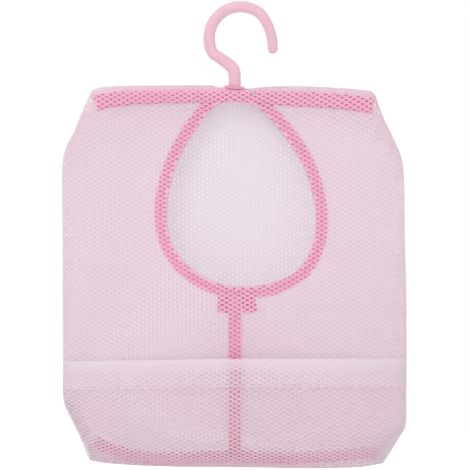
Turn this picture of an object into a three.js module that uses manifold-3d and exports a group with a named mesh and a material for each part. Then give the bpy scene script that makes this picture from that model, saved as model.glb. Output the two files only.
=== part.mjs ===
// Hanging mesh storage bag: a wrap of net sewn round a small plastic hanger whose hook swivels.
// Millimetres, +Z up, front facing -Y. The origin is the crown inside the hook, where a rail carries it.

import * as THREE from 'three';
import { mergeVertices } from 'three/addons/utils/BufferGeometryUtils.js';
import Module from 'manifold-3d';

const wasm = await Module();
wasm.setup();

// Clearances and cutting tools
const seam = 0.3; // left between pieces that are sewn or seated together
const cutOverrun = 6;

// The hook: one moulding, with a stem that snaps into the hanger
const hook = {
  bendRadius: 26.7,
  stock: 9.8,
  shankStock: 10.4,
  tipStock: 8.4,
  shankOffset: 4.9,
  neck: 4.8,
  headWidth: 6.8,
  headHeight: 3.4,
};
const hookSides = 12;
const hookSteps = 40;
// Centreline of the hook in bend radii from the middle of the bend, x then z
const neckShares = [
  [-0.225, -1.0],
  [-0.431, -0.794],
  [-0.667, -0.629],
];
const bendFrom = -118; // degrees from the crown, the neck's side being negative
const bendTo = 36;
const bendSteps = 7;
const armShares = [
  [0.745, 0.625],
  [0.858, 0.423],
  [0.94, 0.21],
  [1.0, -0.022],
  [1.03, -0.352],
];

// The hanger inside the top of the bag
const hanger = { span: 236, height: 9, depth: 6, droop: 7, endRound: 4 };
const hub = { width: 17, depth: 10, height: 11.2, ledge: 6 };
const running = 0.3; // all round the stem, so that the hook turns

// The net: wall of the cloth, and the bag that it makes
const net = 1.0;
const bag = {
  reach: 62.6, // from the crown inside the hook down to the top of the bag
  height: 326,
  width: 292.4,
  depth: 36,
  swellHeight: 170,
  floorHeight: 67,
};
const corners = {
  topLeft: { inset: 24.6, length: 54.4 },
  topRight: { inset: 28.0, length: 63.4 },
  bottomLeft: { inset: 22.5, length: 56 },
  bottomRight: { inset: 20.4, length: 31 },
};
const sectionPower = 2.6; // how square the bulge of the front is, 2 being an ellipse
// Openings in the back, standing for the net's own much smaller holes; two rows meet at the level
const backGrid = { pitch: 26, row: 13, holeWidth: 16, holeHeight: 8.6, margin: 9, level: -230 };
const sleeve = { span: 244, height: 15.6, depth: 15, corner: 2.2, topDroop: 1.5 };
const slit = { width: 32.4, depth: 11.6 };
const barTack = { width: 3.4, height: 3.6, depth: 0.9, offset: 15.3, drop: 5.7 };

// The tapes behind the net, and the two strips that bind the opening
const tape = 0.9;
const sleeveTape = { span: 239, width: 11.4 };
const binding = { width: 9.5, lip: 0.4, inner: 2.6 };
const tails = {
  drop: 17,
  notch: 11.5,
  left: { reach: 15.3, footFrom: 4.3, footTo: 14.5 },
  right: { reach: 20.4, footFrom: 7.7, footTo: 19.6 },
};
const centreTape = { width: 11, footMargin: 24 };
const bottomTape = { width: 10.6, height: 9.6, left: 124.5, right: 121.5, liftLeft: 11, liftRight: 6 };
const cornerSeam = { aroundShares: [0.7, 0.9], length: 40, start: 6 };

// The opening: an egg round the middle of its widest line, measured to the middle of its binding
const opening = { halfWidth: 68.2, drop: 66.7, rise: 107, level: -170.9, offset: 5.1 };
const lowerLeftPower = 2.06;
const lowerRightPower = 2.5;
const upperPower = 1.6;
const eggOverrun = 0.06; // radians that the binding runs on before it is trimmed

// The pocket across the lower front, and its folded hem
const pocket = { height: 95, gap: 0.4, mouth: 7.2, mouthFade: 62, floorMargin: 7 };
const pocketEdgeShare = 0.87; // of the way from the middle of the front to the side
const backFootShare = 0.98; // of the front's length down its face, where the back ends
const hemWidth = 23.8;

// Sewing thread
const thread = 0.8;
const threadSides = 4;

const leftSide = -1;
const rightSide = 1;

// Levels, from the crown down
const bagTop = -bag.reach;
const sleeveLevel = bagTop - sleeve.height / 2;
const hubTop = sleeveLevel + hub.height / 2;
const shankFoot = hubTop + seam;
const panelTop = bagTop - sleeve.height - seam;
const bagBottom = bagTop - bag.height;
const floorLevel = bagBottom + pocket.gap + net;
const floorStart = floorLevel + bag.floorHeight;
const pocketTop = bagBottom + pocket.height;
const backFace = sleeve.depth / 2;
const backInner = backFace - net;
const sideLine = backInner - 2 * seam;
const straightRun = panelTop - floorStart;
const floorTurn = 90; // degrees that the lower front turns through to meet the back

function clamp01(value) {
  return Math.min(Math.max(value, 0), 1);
}

function smooth(value) {
  const share = clamp01(value);
  return share * share * (3 - 2 * share);
}

// The hanger sags evenly from its middle to its ends, and what is sewn round it follows
function sag(x, droop = hanger.droop) {
  const share = Math.abs(x) / (hanger.span / 2);
  return droop * share * share;
}

// Half width of the bag on one side at a level, with its corners cut off
function halfWidth(side, z) {
  const top = side < 0 ? corners.topLeft : corners.topRight;
  const bottom = side < 0 ? corners.bottomLeft : corners.bottomRight;
  const fromTop = clamp01((bagTop - z) / top.length);
  const fromBottom = clamp01((z - bagBottom) / bottom.length);
  return bag.width / 2 - top.inset * (1 - fromTop) - bottom.inset * (1 - fromBottom);
}

// Level and depth of the front at a distance down its face: straight, then round under to the back
function profile(run) {
  if (run <= straightRun) {
    const swell = smooth(run / bag.swellHeight);
    return { z: panelTop - run, depth: sleeve.depth + (bag.depth - sleeve.depth) * swell };
  }
  const turn = THREE.MathUtils.degToRad(((run - straightRun) / bag.floorHeight) * floorTurn);
  return { z: floorStart - bag.floorHeight * Math.sin(turn), depth: bag.depth * Math.cos(turn) };
}

function runAt(z) {
  if (z >= floorStart) return panelTop - z;
  const turn = THREE.MathUtils.radToDeg(Math.asin(clamp01((floorStart - z) / bag.floorHeight)));
  return straightRun + (bag.floorHeight * turn) / floorTurn;
}

const floorEndDepth = backFace - sideLine;
const fullRun = straightRun
  + (bag.floorHeight * THREE.MathUtils.radToDeg(Math.acos(floorEndDepth / bag.depth))) / floorTurn;

// A point on the outside of the front: around is -1 at the left side, 0 in the middle, 1 at the right
function facePoint(around, run) {
  const { z, depth } = profile(run);
  const side = Math.sign(around) || rightSide;
  const angle = Math.min(Math.abs(around), 1) * (Math.PI / 2);
  const x = side * halfWidth(side, z) * Math.sin(angle) ** (2 / sectionPower);
  const bulge = Math.max(depth - floorEndDepth, 0) * Math.cos(angle) ** (2 / sectionPower);
  const fade = 1 - clamp01(run / bag.swellHeight);
  return new THREE.Vector3(x, sideLine - bulge, z - sag(x) * fade * fade);
}

// The way out of the front, taken a little inside the edges where the face is smooth
function faceNormal(around, run) {
  const stepShare = 0.004;
  const edgeShare = 0.985;
  const a = Math.min(Math.max(around, -edgeShare), edgeShare);
  const r = Math.min(Math.max(run, fullRun * stepShare), fullRun * edgeShare);
  const across = facePoint(a + stepShare, r).sub(facePoint(a - stepShare, r));
  const up = facePoint(a, r - fullRun * stepShare).sub(facePoint(a, r + fullRun * stepShare));
  return across.cross(up).normalize();
}

function aroundAt(x, z) {
  const share = clamp01(Math.abs(x) / halfWidth(Math.sign(x), z));
  return (Math.sign(x) * Math.asin(share ** (sectionPower / 2))) / (Math.PI / 2);
}

// A slab whose three ways, each 0 to 1, are carried to a place by a function
function mappedSlab(columns, rows, place) {
  const slab = new THREE.BoxGeometry(1, 1, 1, columns, rows, 1);
  const position = slab.attributes.position;
  for (let i = 0; i < position.count; i += 1) {
    const across = position.getX(i) + 1 / 2;
    const up = position.getY(i) + 1 / 2;
    const out = position.getZ(i) + 1 / 2;
    position.setXYZ(i, ...place(across, up, out).toArray());
  }
  return slab;
}

// Places where every cloth on the front is creased alike, so that layers lie face to face
const aroundSteps = 12;
const straightSteps = 9;
const floorSteps = 9;
const aroundStations = [];
for (let i = -aroundSteps; i <= aroundSteps; i += 1) aroundStations.push(i / aroundSteps);
const cornerRuns = [
  ...[corners.topLeft, corners.topRight].map(({ length }) => runAt(bagTop - length)),
  ...[corners.bottomLeft, corners.bottomRight].map(({ length }) => runAt(bagBottom + length)),
];
const evenRuns = [];
for (let i = 0; i < straightSteps; i += 1) evenRuns.push((straightRun * i) / straightSteps);
for (let i = 0; i <= floorSteps; i += 1) evenRuns.push(straightRun + (bag.floorHeight * i) / floorSteps);
const clearOfCorners = (run) => cornerRuns.every((corner) => Math.abs(corner - run) > net);
const runStations = [...cornerRuns, ...evenRuns.filter(clearOfCorners)].sort((a, b) => a - b);

function between([from, to], stations) {
  const nearest = Math.abs(to - from) / (10 * stations.length);
  const inside = stations.filter((value) => value > from + nearest && value < to - nearest);
  return [from, ...inside, to];
}

// Cloth lying on the front of the bag, between two runs, with its layers given as distances outwards
function frontCloth({ around, run, layer, lift = () => 0 }) {
  const columns = between(around, aroundStations);
  const rows = between(run, runStations).reverse();
  return mappedSlab(columns.length - 1, rows.length - 1, (across, up, out) => {
    const a = columns[Math.round(across * (columns.length - 1))];
    const r = rows[Math.round(up * (rows.length - 1))];
    const w = THREE.MathUtils.lerp(layer[0], layer[1], out) + lift(a, r);
    return facePoint(a, r).addScaledVector(faceNormal(a, r), w);
  });
}

// A point at a layer of the front above a place in the front view
function overFront(x, z, layer) {
  const run = runAt(z);
  const a = aroundAt(x, z);
  return facePoint(a, run).addScaledVector(faceNormal(a, run), layer).setX(x).setZ(z);
}

function toSolid(geometry) {
  const bare = geometry.clone();
  bare.deleteAttribute('normal');
  bare.deleteAttribute('uv');
  bare.clearGroups();
  const merged = mergeVertices(bare, seam / 1000);
  return new wasm.Manifold(new wasm.Mesh({
    numProp: 3,
    vertProperties: Float32Array.from(merged.attributes.position.array),
    triVerts: Uint32Array.from(merged.index.array),
  }));
}

function toGeometry(solid) {
  const { vertProperties, triVerts } = solid.getMesh();
  const geometry = new THREE.BufferGeometry();
  geometry.setAttribute('position', new THREE.Float32BufferAttribute(vertProperties, 3));
  geometry.setIndex(Array.from(triVerts));
  geometry.computeVertexNormals();
  return geometry;
}

// A round bar bent along a curve that lies in a plane facing -Y, with its own width at each point
function bentBar(curve, sides, steps, widthAt) {
  const bar = new THREE.CylinderGeometry(1, 1, 1, sides, steps);
  const position = bar.attributes.position;
  const facing = new THREE.Vector3(0, -1, 0);
  for (let i = 0; i < position.count; i += 1) {
    const share = clamp01(position.getY(i) + 1 / 2);
    const along = curve.getTangentAt(share);
    const sideways = new THREE.Vector3().crossVectors(along, facing).normalize();
    const outwards = new THREE.Vector3().crossVectors(sideways, along).normalize();
    const radius = widthAt(share) / 2;
    const point = curve.getPointAt(share)
      .addScaledVector(sideways, position.getX(i) * radius)
      .addScaledVector(outwards, position.getZ(i) * radius);
    position.setXYZ(i, ...point.toArray());
  }
  return bar;
}

// A row of sewing, as a thin thread along points
function stitchRow(points, steps) {
  return bentBar(new THREE.CatmullRomCurve3(points), threadSides, steps, () => thread);
}

// Materials, from the photograph
function cloth(colour) {
  return new THREE.MeshStandardMaterial({ color: colour, roughness: 0.85, metalness: 0 });
}
const paleNet = cloth(0xe4ccdc);
const hotTape = cloth(0xe0648f);
const paleThread = cloth(0xf6dfe8);
const pinkThread = cloth(0xe889ab);
const pinkPlastic = new THREE.MeshStandardMaterial({ color: 0xf1c7d3, roughness: 0.45, metalness: 0 });

const part = new THREE.Group();
const bagGroup = new THREE.Group();
bagGroup.position.x = -hook.shankOffset;
part.add(bagGroup);

function addPiece(group, name, geometry, material) {
  const mesh = new THREE.Mesh(geometry, material);
  mesh.name = name;
  group.add(mesh);
}

// Hook, drawn in its own plane from the stem up, over the bend and down to the tip
function hookCurve() {
  const middle = new THREE.Vector3(0, 0, hook.stock / 2 - hook.bendRadius);
  const at = ([x, z]) => new THREE.Vector3(x, 0, z).multiplyScalar(hook.bendRadius).add(middle);
  const onAxis = (z) => new THREE.Vector3(-hook.shankOffset, 0, z);
  const bend = [];
  for (let i = 0; i <= bendSteps; i += 1) {
    const angle = THREE.MathUtils.degToRad(THREE.MathUtils.lerp(bendFrom, bendTo, i / bendSteps));
    bend.push(at([Math.sin(angle), Math.cos(angle)]));
  }
  const shankTop = bagTop + hook.shankStock / 2;
  return new THREE.CatmullRomCurve3([
    onAxis(shankFoot),
    onAxis(shankTop),
    ...neckShares.map(at),
    ...bend,
    ...armShares.map(at),
  ]);
}

const shankShare = 0.12;
const armShare = 0.62;

function hookWidth(share) {
  const toNeck = smooth((share - shankShare) / shankShare);
  const toTip = smooth((share - armShare) / (1 - armShare));
  const stock = THREE.MathUtils.lerp(hook.shankStock, hook.stock, toNeck);
  return THREE.MathUtils.lerp(stock, hook.tipStock, toTip);
}

// Neck and snap head, turned about the shank's axis, a little up inside the shank
function hookStem() {
  const neck = hook.neck / 2;
  const head = hook.headWidth / 2;
  const foot = hubTop - hub.ledge - running;
  const stem = new THREE.LatheGeometry([
    new THREE.Vector2(0, foot - hook.headHeight),
    new THREE.Vector2(neck, foot - hook.headHeight),
    new THREE.Vector2(head, foot),
    new THREE.Vector2(neck, foot),
    new THREE.Vector2(neck, shankFoot + neck),
    new THREE.Vector2(0, shankFoot + neck),
  ], hookSides);
  return stem.rotateX(Math.PI / 2).translate(-hook.shankOffset, 0, 0);
}

const curveOfHook = hookCurve();
const tipBall = new THREE.SphereGeometry(hook.tipStock / 2, hookSides, hookSides / 2);
tipBall.translate(...curveOfHook.getPoint(1).toArray());
const hookSolid = toSolid(bentBar(curveOfHook, hookSides, hookSteps, hookWidth))
  .add(toSolid(hookStem()))
  .add(toSolid(tipBall));
addPiece(part, 'hook', toGeometry(hookSolid), pinkPlastic);

// Hanger: a sagging bar with rounded ends and a hub that the hook's head snaps under
function hangerBar() {
  return mappedSlab(24, 2, (across, up, out) => {
    const x = THREE.MathUtils.lerp(-hanger.span / 2, hanger.span / 2, across);
    const fromEnd = Math.min((hanger.span / 2 - Math.abs(x)) / hanger.endRound, 1);
    const full = (1 + Math.sqrt(fromEnd * (2 - fromEnd))) / 2;
    const z = sleeveLevel - sag(x) + (up - 1 / 2) * hanger.height * full;
    return new THREE.Vector3(x, (1 / 2 - out) * hanger.depth, z);
  });
}

function hangerHub() {
  const block = new THREE.BoxGeometry(hub.width, hub.depth, hub.height);
  return block.translate(0, 0, sleeveLevel);
}

function uprightRod(width, from, to) {
  const rod = new THREE.CylinderGeometry(width / 2, width / 2, to - from, hookSides);
  return rod.rotateX(Math.PI / 2).translate(0, 0, (from + to) / 2);
}

const ledgeFoot = hubTop - hub.ledge;
const hangerSolid = toSolid(hangerBar())
  .add(toSolid(hangerHub()))
  .subtract(toSolid(uprightRod(hook.neck + 2 * running, ledgeFoot - cutOverrun, hubTop + cutOverrun)))
  .subtract(toSolid(uprightRod(
    hook.headWidth + 2 * running,
    hubTop - hub.height - cutOverrun,
    ledgeFoot,
  )));
addPiece(bagGroup, 'hanger_bar', toGeometry(hangerSolid), pinkPlastic);

// Sleeve of net round the hanger: a hollow section swept across, with a slit for the shank.
// Its foot follows the hanger, and its top stays nearly level.
function roundedLoop(width, height, corner, outline) {
  const x = width / 2 - corner;
  const y = height / 2 - corner;
  outline.absarc(x, y, corner, 0, Math.PI / 2, false);
  outline.absarc(-x, y, corner, Math.PI / 2, Math.PI, false);
  outline.absarc(-x, -y, corner, Math.PI, (3 * Math.PI) / 2, false);
  outline.absarc(x, -y, corner, (3 * Math.PI) / 2, 2 * Math.PI, false);
  return outline;
}

function sleeveTube() {
  const section = roundedLoop(sleeve.depth, sleeve.height, sleeve.corner, new THREE.Shape());
  const hollow = new THREE.Path();
  section.holes.push(
    roundedLoop(sleeve.depth - 2 * net, sleeve.height - 2 * net, sleeve.corner - net, hollow),
  );
  const tube = new THREE.ExtrudeGeometry(section, {
    depth: sleeve.span, steps: 16, bevelEnabled: false, curveSegments: 2,
  });
  tube.rotateX(Math.PI / 2).rotateZ(Math.PI / 2).translate(-sleeve.span / 2, 0, sleeveLevel);
  const position = tube.attributes.position;
  for (let i = 0; i < position.count; i += 1) {
    const x = position.getX(i);
    const up = (position.getZ(i) - sleeveLevel) / sleeve.height + 1 / 2;
    const drop = THREE.MathUtils.lerp(sag(x), sag(x, sleeve.topDroop), up);
    position.setZ(i, position.getZ(i) - drop);
  }
  return tube;
}

const slitCutter = new THREE.BoxGeometry(slit.width, slit.depth, sleeve.height);
slitCutter.translate(0, 0, bagTop);
const sleeveSolid = toSolid(sleeveTube()).subtract(toSolid(slitCutter));
addPiece(bagGroup, 'top_sleeve', toGeometry(sleeveSolid), paleNet);

// A strip hanging level across the bag, sagging with the hanger, given as depths in Y
function saggingStrip(span, width, level, near, far) {
  return mappedSlab(20, 1, (across, up, out) => {
    const x = (across - 1 / 2) * span;
    const z = level - sag(x) + (up - 1 / 2) * width;
    return new THREE.Vector3(x, THREE.MathUtils.lerp(far, near, out), z);
  });
}

const sleeveFront = -sleeve.depth / 2;
const tapeFront = sleeveFront + net + seam;
addPiece(
  bagGroup,
  'sleeve_tape',
  saggingStrip(sleeveTape.span, sleeveTape.width, sleeveLevel, tapeFront, tapeFront + tape),
  hotTape,
);

const sewnFront = sleeveFront - seam - thread / 2;
const evenShares = [-1, -0.75, -0.5, -0.25, 0, 0.25, 0.5, 0.75, 1];
const sleeveStitchPoints = evenShares.map((share) => {
  const x = (share * sleeveTape.span) / 2;
  return new THREE.Vector3(x, sewnFront, sleeveLevel - sleeveTape.width / 2 + thread - sag(x));
});
addPiece(bagGroup, 'sleeve_stitch', stitchRow(sleeveStitchPoints, 24), paleThread);

const tack = new THREE.BoxGeometry(barTack.width, barTack.depth, barTack.height);
tack.translate(barTack.offset, sleeveFront - seam - barTack.depth / 2, bagTop - barTack.drop);
addPiece(bagGroup, 'slit_bar_tack', tack, paleThread);

// The egg of the opening, from its top down the left side and up the right, with a way in from its edge
function eggPoint(angle, inwards = 0) {
  const at = (turn) => {
    const down = Math.cos(turn) < 0;
    const lowerPower = Math.sin(turn) > 0 ? lowerLeftPower : lowerRightPower;
    const power = 2 / (down ? lowerPower : upperPower);
    const wide = Math.sign(Math.sin(turn)) * Math.abs(Math.sin(turn)) ** power;
    const high = Math.abs(Math.cos(turn)) ** power;
    const middle = opening.offset * (down ? 1 : 1 - high);
    return new THREE.Vector2(
      middle - opening.halfWidth * wide,
      opening.level + (down ? -opening.drop : opening.rise) * high,
    );
  };
  const turnStep = 0.01;
  const way = at(angle + turnStep).sub(at(angle - turnStep)).normalize();
  return at(angle).addScaledVector(new THREE.Vector2(-way.y, way.x), inwards);
}

// Where the egg's line passes under the sleeve
const eggTopShare = ((panelTop - opening.level) / opening.rise) ** (upperPower / 2);
const eggStart = Math.acos(eggTopShare);
const eggEnd = 2 * Math.PI - eggStart;

const openingCutter = (() => {
  const steps = 40;
  const outline = new THREE.Shape();
  const outside = -(binding.width / 2 + seam);
  const first = eggPoint(eggStart, outside);
  outline.moveTo(first.x, first.y + cutOverrun);
  for (let i = 0; i <= steps; i += 1) {
    const point = eggPoint(THREE.MathUtils.lerp(eggStart, eggEnd, i / steps), outside);
    outline.lineTo(point.x, point.y);
  }
  outline.lineTo(eggPoint(eggEnd, outside).x, first.y + cutOverrun);
  const cutter = new THREE.ExtrudeGeometry(outline, { depth: 2 * bag.depth, bevelEnabled: false });
  return toSolid(cutter.rotateX(Math.PI / 2).translate(0, bag.depth, 0));
})();

// Front panels: the two ends of the wrap of net, which meet at the centre seam
function frontPanel(side) {
  const middle = (side * seam) / 2;
  const inner = aroundAt(middle, floorStart);
  const panel = frontCloth({
    around: side < 0 ? [-1, inner] : [inner, 1],
    run: [0, fullRun],
    layer: [-net, 0],
  });
  return toSolid(panel).subtract(openingCutter);
}
addPiece(bagGroup, 'front_left_panel', toGeometry(frontPanel(leftSide)), paleNet);
addPiece(bagGroup, 'front_right_panel', toGeometry(frontPanel(rightSide)), paleNet);

// Six-sided opening, drawn out across the bag as the net's own are
function gridHole(x, z) {
  const half = backGrid.holeWidth / 2;
  const rise = backGrid.holeHeight / 2;
  const upper = [[half, 0], [half / 2, rise], [-half / 2, rise]];
  const places = [...upper, ...upper.map(([across, up]) => [-across, -up])];
  return new THREE.Path(places.map(([across, up]) => new THREE.Vector2(x + across, z + up)));
}

// Rows of openings between the sleeve and the bottom tape, every other row moved half a pitch across
function gridHoles() {
  const { pitch, row, holeWidth, holeHeight, margin, level } = backGrid;
  const highest = panelTop - hanger.droop - row / 2;
  const lowest = bagBottom + bottomTape.height + bottomTape.liftLeft + (bottomTape.width + row) / 2;
  const firstRow = Math.ceil((lowest - level) / row - 1 / 2);
  const lastRow = Math.floor((highest - level) / row - 1 / 2);
  const reach = Math.ceil(bag.width / 2 / pitch);
  const holes = [];
  for (let i = firstRow; i <= lastRow; i += 1) {
    const z = level + (i + 1 / 2) * row;
    const shift = i % 2 === 0 ? pitch / 2 : 0;
    for (let j = -reach; j <= reach; j += 1) {
      const x = j * pitch + shift;
      const side = x < 0 ? leftSide : rightSide;
      const room = Math.min(halfWidth(side, z + holeHeight / 2), halfWidth(side, z - holeHeight / 2));
      if (Math.abs(x) + holeWidth / 2 + margin <= room) holes.push(gridHole(x, z));
    }
  }
  return holes;
}

// Back panel: flat net of the same outline as the front, its top edge following the sleeve
function backPanel() {
  const topSteps = 10;
  const sideSteps = 12;
  const places = [];
  const footRun = fullRun * backFootShare;
  for (let i = 0; i <= sideSteps; i += 1) places.push([leftSide, (footRun * i) / sideSteps]);
  for (let i = 0; i < sideSteps; i += 1) places.push([rightSide, footRun * (1 - i / sideSteps)]);
  for (let i = 0; i < topSteps; i += 1) places.push([1 - (2 * i) / topSteps, 0]);
  const outline = new THREE.Shape(places.map(([around, run]) => {
    const { x, z } = facePoint(around, run);
    return new THREE.Vector2(x, z);
  }));
  outline.holes = gridHoles();
  const panel = new THREE.ExtrudeGeometry(outline, { depth: net, bevelEnabled: false });
  return panel.rotateX(Math.PI / 2).translate(0, backFace, 0);
}
addPiece(bagGroup, 'back_panel', backPanel(), paleNet);

// Binding: a folded strip along each side of the opening, its end turned down over the centre seam
function bindingRing() {
  return mappedSlab(44, 1, (across, up, out) => {
    const angle = THREE.MathUtils.lerp(eggStart - eggOverrun, eggEnd + eggOverrun, across);
    const place = eggPoint(angle, (up - 1 / 2) * binding.width);
    return overFront(place.x, place.y, THREE.MathUtils.lerp(-binding.inner, binding.lip, out));
  });
}

function boxBetween(low, high) {
  const box = new THREE.Box3(low, high);
  const size = box.getSize(new THREE.Vector3());
  const middle = box.getCenter(new THREE.Vector3());
  return new THREE.BoxGeometry(size.x, size.y, size.z).translate(middle.x, middle.y, middle.z);
}

const ringTop = panelTop - sag(opening.halfWidth / 2);
const aboveRing = toSolid(boxBetween(
  new THREE.Vector3(-bag.width, -bag.depth, ringTop),
  new THREE.Vector3(bag.width, bag.depth, 0),
));

function otherSide(side) {
  const low = side < 0 ? -seam / 2 : -bag.width;
  const high = side < 0 ? bag.width : seam / 2;
  return toSolid(boxBetween(
    new THREE.Vector3(low, -bag.depth, bagBottom),
    new THREE.Vector3(high, bag.depth, 0),
  ));
}

const ringFoot = opening.level - opening.drop;

function bindingTail(side) {
  const { reach, footFrom, footTo } = side < 0 ? tails.left : tails.right;
  const inner = (side * seam) / 2;
  const outline = new THREE.Shape([
    new THREE.Vector2(inner, ringFoot),
    new THREE.Vector2(side * reach, ringFoot),
    new THREE.Vector2(side * footTo, ringFoot - tails.drop),
    new THREE.Vector2(side * footFrom, ringFoot - tails.drop),
    new THREE.Vector2(inner, ringFoot - tails.notch),
  ]);
  const flap = new THREE.ExtrudeGeometry(outline, { depth: tape, bevelEnabled: false });
  const front = facePoint(0, runAt(ringFoot - tails.drop)).y + net + 2 * seam;
  return flap.rotateX(Math.PI / 2).translate(0, front + tape, 0);
}

const ringSolid = toSolid(bindingRing()).subtract(aboveRing);
[[leftSide, 'opening_binding_left'], [rightSide, 'opening_binding_right']].forEach(([side, name]) => {
  const strip = ringSolid.subtract(otherSide(side)).add(toSolid(bindingTail(side)));
  addPiece(bagGroup, name, toGeometry(strip), hotTape);
});

// Sewing round the opening, a thread on each strip
const eggMiddle = Math.PI - Math.asin((opening.offset / opening.halfWidth) ** (lowerLeftPower / 2));

function openingStitch(side) {
  const steps = 14;
  const foot = eggMiddle + (side * 2 * thread) / opening.halfWidth;
  const top = side < 0 ? eggStart + eggOverrun : eggEnd - eggOverrun;
  const points = [];
  for (let i = 0; i <= steps; i += 1) {
    const place = eggPoint(THREE.MathUtils.lerp(top, foot, i / steps));
    points.push(overFront(place.x, place.y, binding.lip + seam + thread / 2));
  }
  return stitchRow(points, 26);
}
addPiece(bagGroup, 'opening_stitch_left', openingStitch(leftSide), pinkThread);
addPiece(bagGroup, 'opening_stitch_right', openingStitch(rightSide), pinkThread);

// Centre seam: a tape behind the meeting edges of the net, from the binding down and under
const centreTop = runAt(ringFoot - tails.drop) + seam;
const centreEdge = aroundAt(centreTape.width / 2, floorStart);
addPiece(
  bagGroup,
  'centre_tape',
  frontCloth({
    around: [-centreEdge, centreEdge],
    run: [centreTop, fullRun - centreTape.footMargin],
    layer: [-net - seam - tape, -net - seam],
  }),
  hotTape,
);

const centreStitchEnd = runAt(pocketTop) + pocket.mouthFade / 2;
const centreStitchPoints = evenShares.filter((share) => share >= 0).map((share) => {
  const run = THREE.MathUtils.lerp(centreTop, centreStitchEnd, share);
  return facePoint(0, run).addScaledVector(faceNormal(0, run), seam + thread / 2);
});
addPiece(bagGroup, 'centre_stitch', stitchRow(centreStitchPoints, 12), pinkThread);

// Bottom seam: a tape inside the back panel, rising at both ends
function bottomLevel(x) {
  const left = x < 0;
  const share = Math.abs(x) / (left ? bottomTape.left : bottomTape.right);
  const lift = left ? bottomTape.liftLeft : bottomTape.liftRight;
  return bagBottom + bottomTape.height + lift * share ** 4;
}
const bottomFront = backInner - seam - tape;
addPiece(
  bagGroup,
  'bottom_tape',
  mappedSlab(20, 1, (across, up, out) => {
    const x = THREE.MathUtils.lerp(-bottomTape.left, bottomTape.right, across);
    const z = bottomLevel(x) + (up - 1 / 2) * bottomTape.width;
    return new THREE.Vector3(x, bottomFront + (1 - out) * tape, z);
  }),
  hotTape,
);

const bottomStitchPoints = evenShares.map((share) => {
  const x = share * (share < 0 ? bottomTape.left : bottomTape.right);
  return new THREE.Vector3(x, bottomFront - seam - thread / 2, bottomLevel(x));
});
addPiece(bagGroup, 'bottom_stitch', stitchRow(bottomStitchPoints, 24), pinkThread);

// Seam allowances turned in along the four cut corners
function cornerStrip(side, run) {
  const [near, far] = cornerSeam.aroundShares;
  return frontCloth({
    around: side < 0 ? [-far, -near] : [near, far],
    run,
    layer: [-net - seam - tape, -net - seam],
  });
}
const topRun = [cornerSeam.start, cornerSeam.start + cornerSeam.length];
const bottomRun = [fullRun - cornerSeam.start - cornerSeam.length, fullRun - cornerSeam.start];
[[leftSide, 'left'], [rightSide, 'right']].forEach(([side, name]) => {
  addPiece(bagGroup, `corner_seam_top_${name}`, cornerStrip(side, topRun), paleNet);
  addPiece(bagGroup, `corner_seam_bottom_${name}`, cornerStrip(side, bottomRun), paleNet);
});

// Pocket: one more layer of net across the lower front, its mouth standing off, with a folded hem
const pocketRun = runAt(pocketTop);

function pocketLift(around, run) {
  const across = Math.abs(around) / pocketEdgeShare;
  return pocket.mouth * (1 - across * across) * (1 - smooth((run - pocketRun) / pocket.mouthFade));
}
const pocketAround = [-pocketEdgeShare, pocketEdgeShare];
addPiece(
  bagGroup,
  'front_pocket',
  frontCloth({
    around: pocketAround,
    run: [pocketRun, fullRun - pocket.floorMargin],
    layer: [pocket.gap, pocket.gap + net],
    lift: pocketLift,
  }),
  paleNet,
);

const hemStitchShares = [-0.78, 0.78];
const hemInner = pocket.gap + net + seam;
addPiece(
  bagGroup,
  'pocket_hem',
  frontCloth({
    around: pocketAround,
    run: [pocketRun, pocketRun + hemWidth],
    layer: [hemInner, hemInner + net],
    lift: pocketLift,
  }),
  paleNet,
);

const hemStitchRun = pocketRun + hemWidth - 2 * thread;
const hemStitchPoints = between(hemStitchShares, aroundStations).map((around) => {
  const layer = hemInner + net + seam + thread / 2 + pocketLift(around, hemStitchRun);
  return facePoint(around, hemStitchRun).addScaledVector(faceNormal(around, hemStitchRun), layer);
});
addPiece(bagGroup, 'hem_stitch', stitchRow(hemStitchPoints, 40), paleThread);

export default part;
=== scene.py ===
# Hanging mesh storage bag: the net, tapes, sewing and hook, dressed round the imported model
import math

import bpy
import numpy as np
from bpy.props import FloatProperty, FloatVectorProperty, PointerProperty
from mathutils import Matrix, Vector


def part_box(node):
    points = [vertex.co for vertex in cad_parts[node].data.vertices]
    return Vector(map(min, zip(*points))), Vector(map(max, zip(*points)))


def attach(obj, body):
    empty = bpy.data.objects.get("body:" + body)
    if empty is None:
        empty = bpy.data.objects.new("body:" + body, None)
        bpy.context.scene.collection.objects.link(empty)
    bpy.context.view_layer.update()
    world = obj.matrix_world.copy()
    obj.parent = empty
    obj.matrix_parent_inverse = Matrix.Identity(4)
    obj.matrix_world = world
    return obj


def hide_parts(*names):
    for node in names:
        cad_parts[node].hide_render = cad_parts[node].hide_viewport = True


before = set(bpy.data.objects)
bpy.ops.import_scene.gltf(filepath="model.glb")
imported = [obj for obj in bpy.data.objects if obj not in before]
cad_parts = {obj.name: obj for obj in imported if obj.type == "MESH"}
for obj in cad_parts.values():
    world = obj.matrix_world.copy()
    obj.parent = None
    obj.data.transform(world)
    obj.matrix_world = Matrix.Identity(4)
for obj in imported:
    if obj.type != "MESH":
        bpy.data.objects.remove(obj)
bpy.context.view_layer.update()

bl_info = {
    "name": "Hanging mesh storage bag",
    "version": (1, 0, 0),
    "blender": (4, 5, 0),
    "location": "View3D > Sidebar > Mesh bag",
    "description": "Net, tapes, sewing and hook of a hanging mesh bag, on its packed frame",
    "category": "Object",
}

MM = 0.001

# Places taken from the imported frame. The bag's own x runs from its middle, to the right of the viewer.
back_low, back_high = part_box("back_panel")
MIDDLE = (back_low.x + back_high.x) / 2
BAG_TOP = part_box("top_sleeve")[1].z
PANEL_TOP = BAG_TOP - 15.9 * MM
BACK = back_high.y - 0.5 * MM
FOLD = BACK - 0.55 * MM

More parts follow.
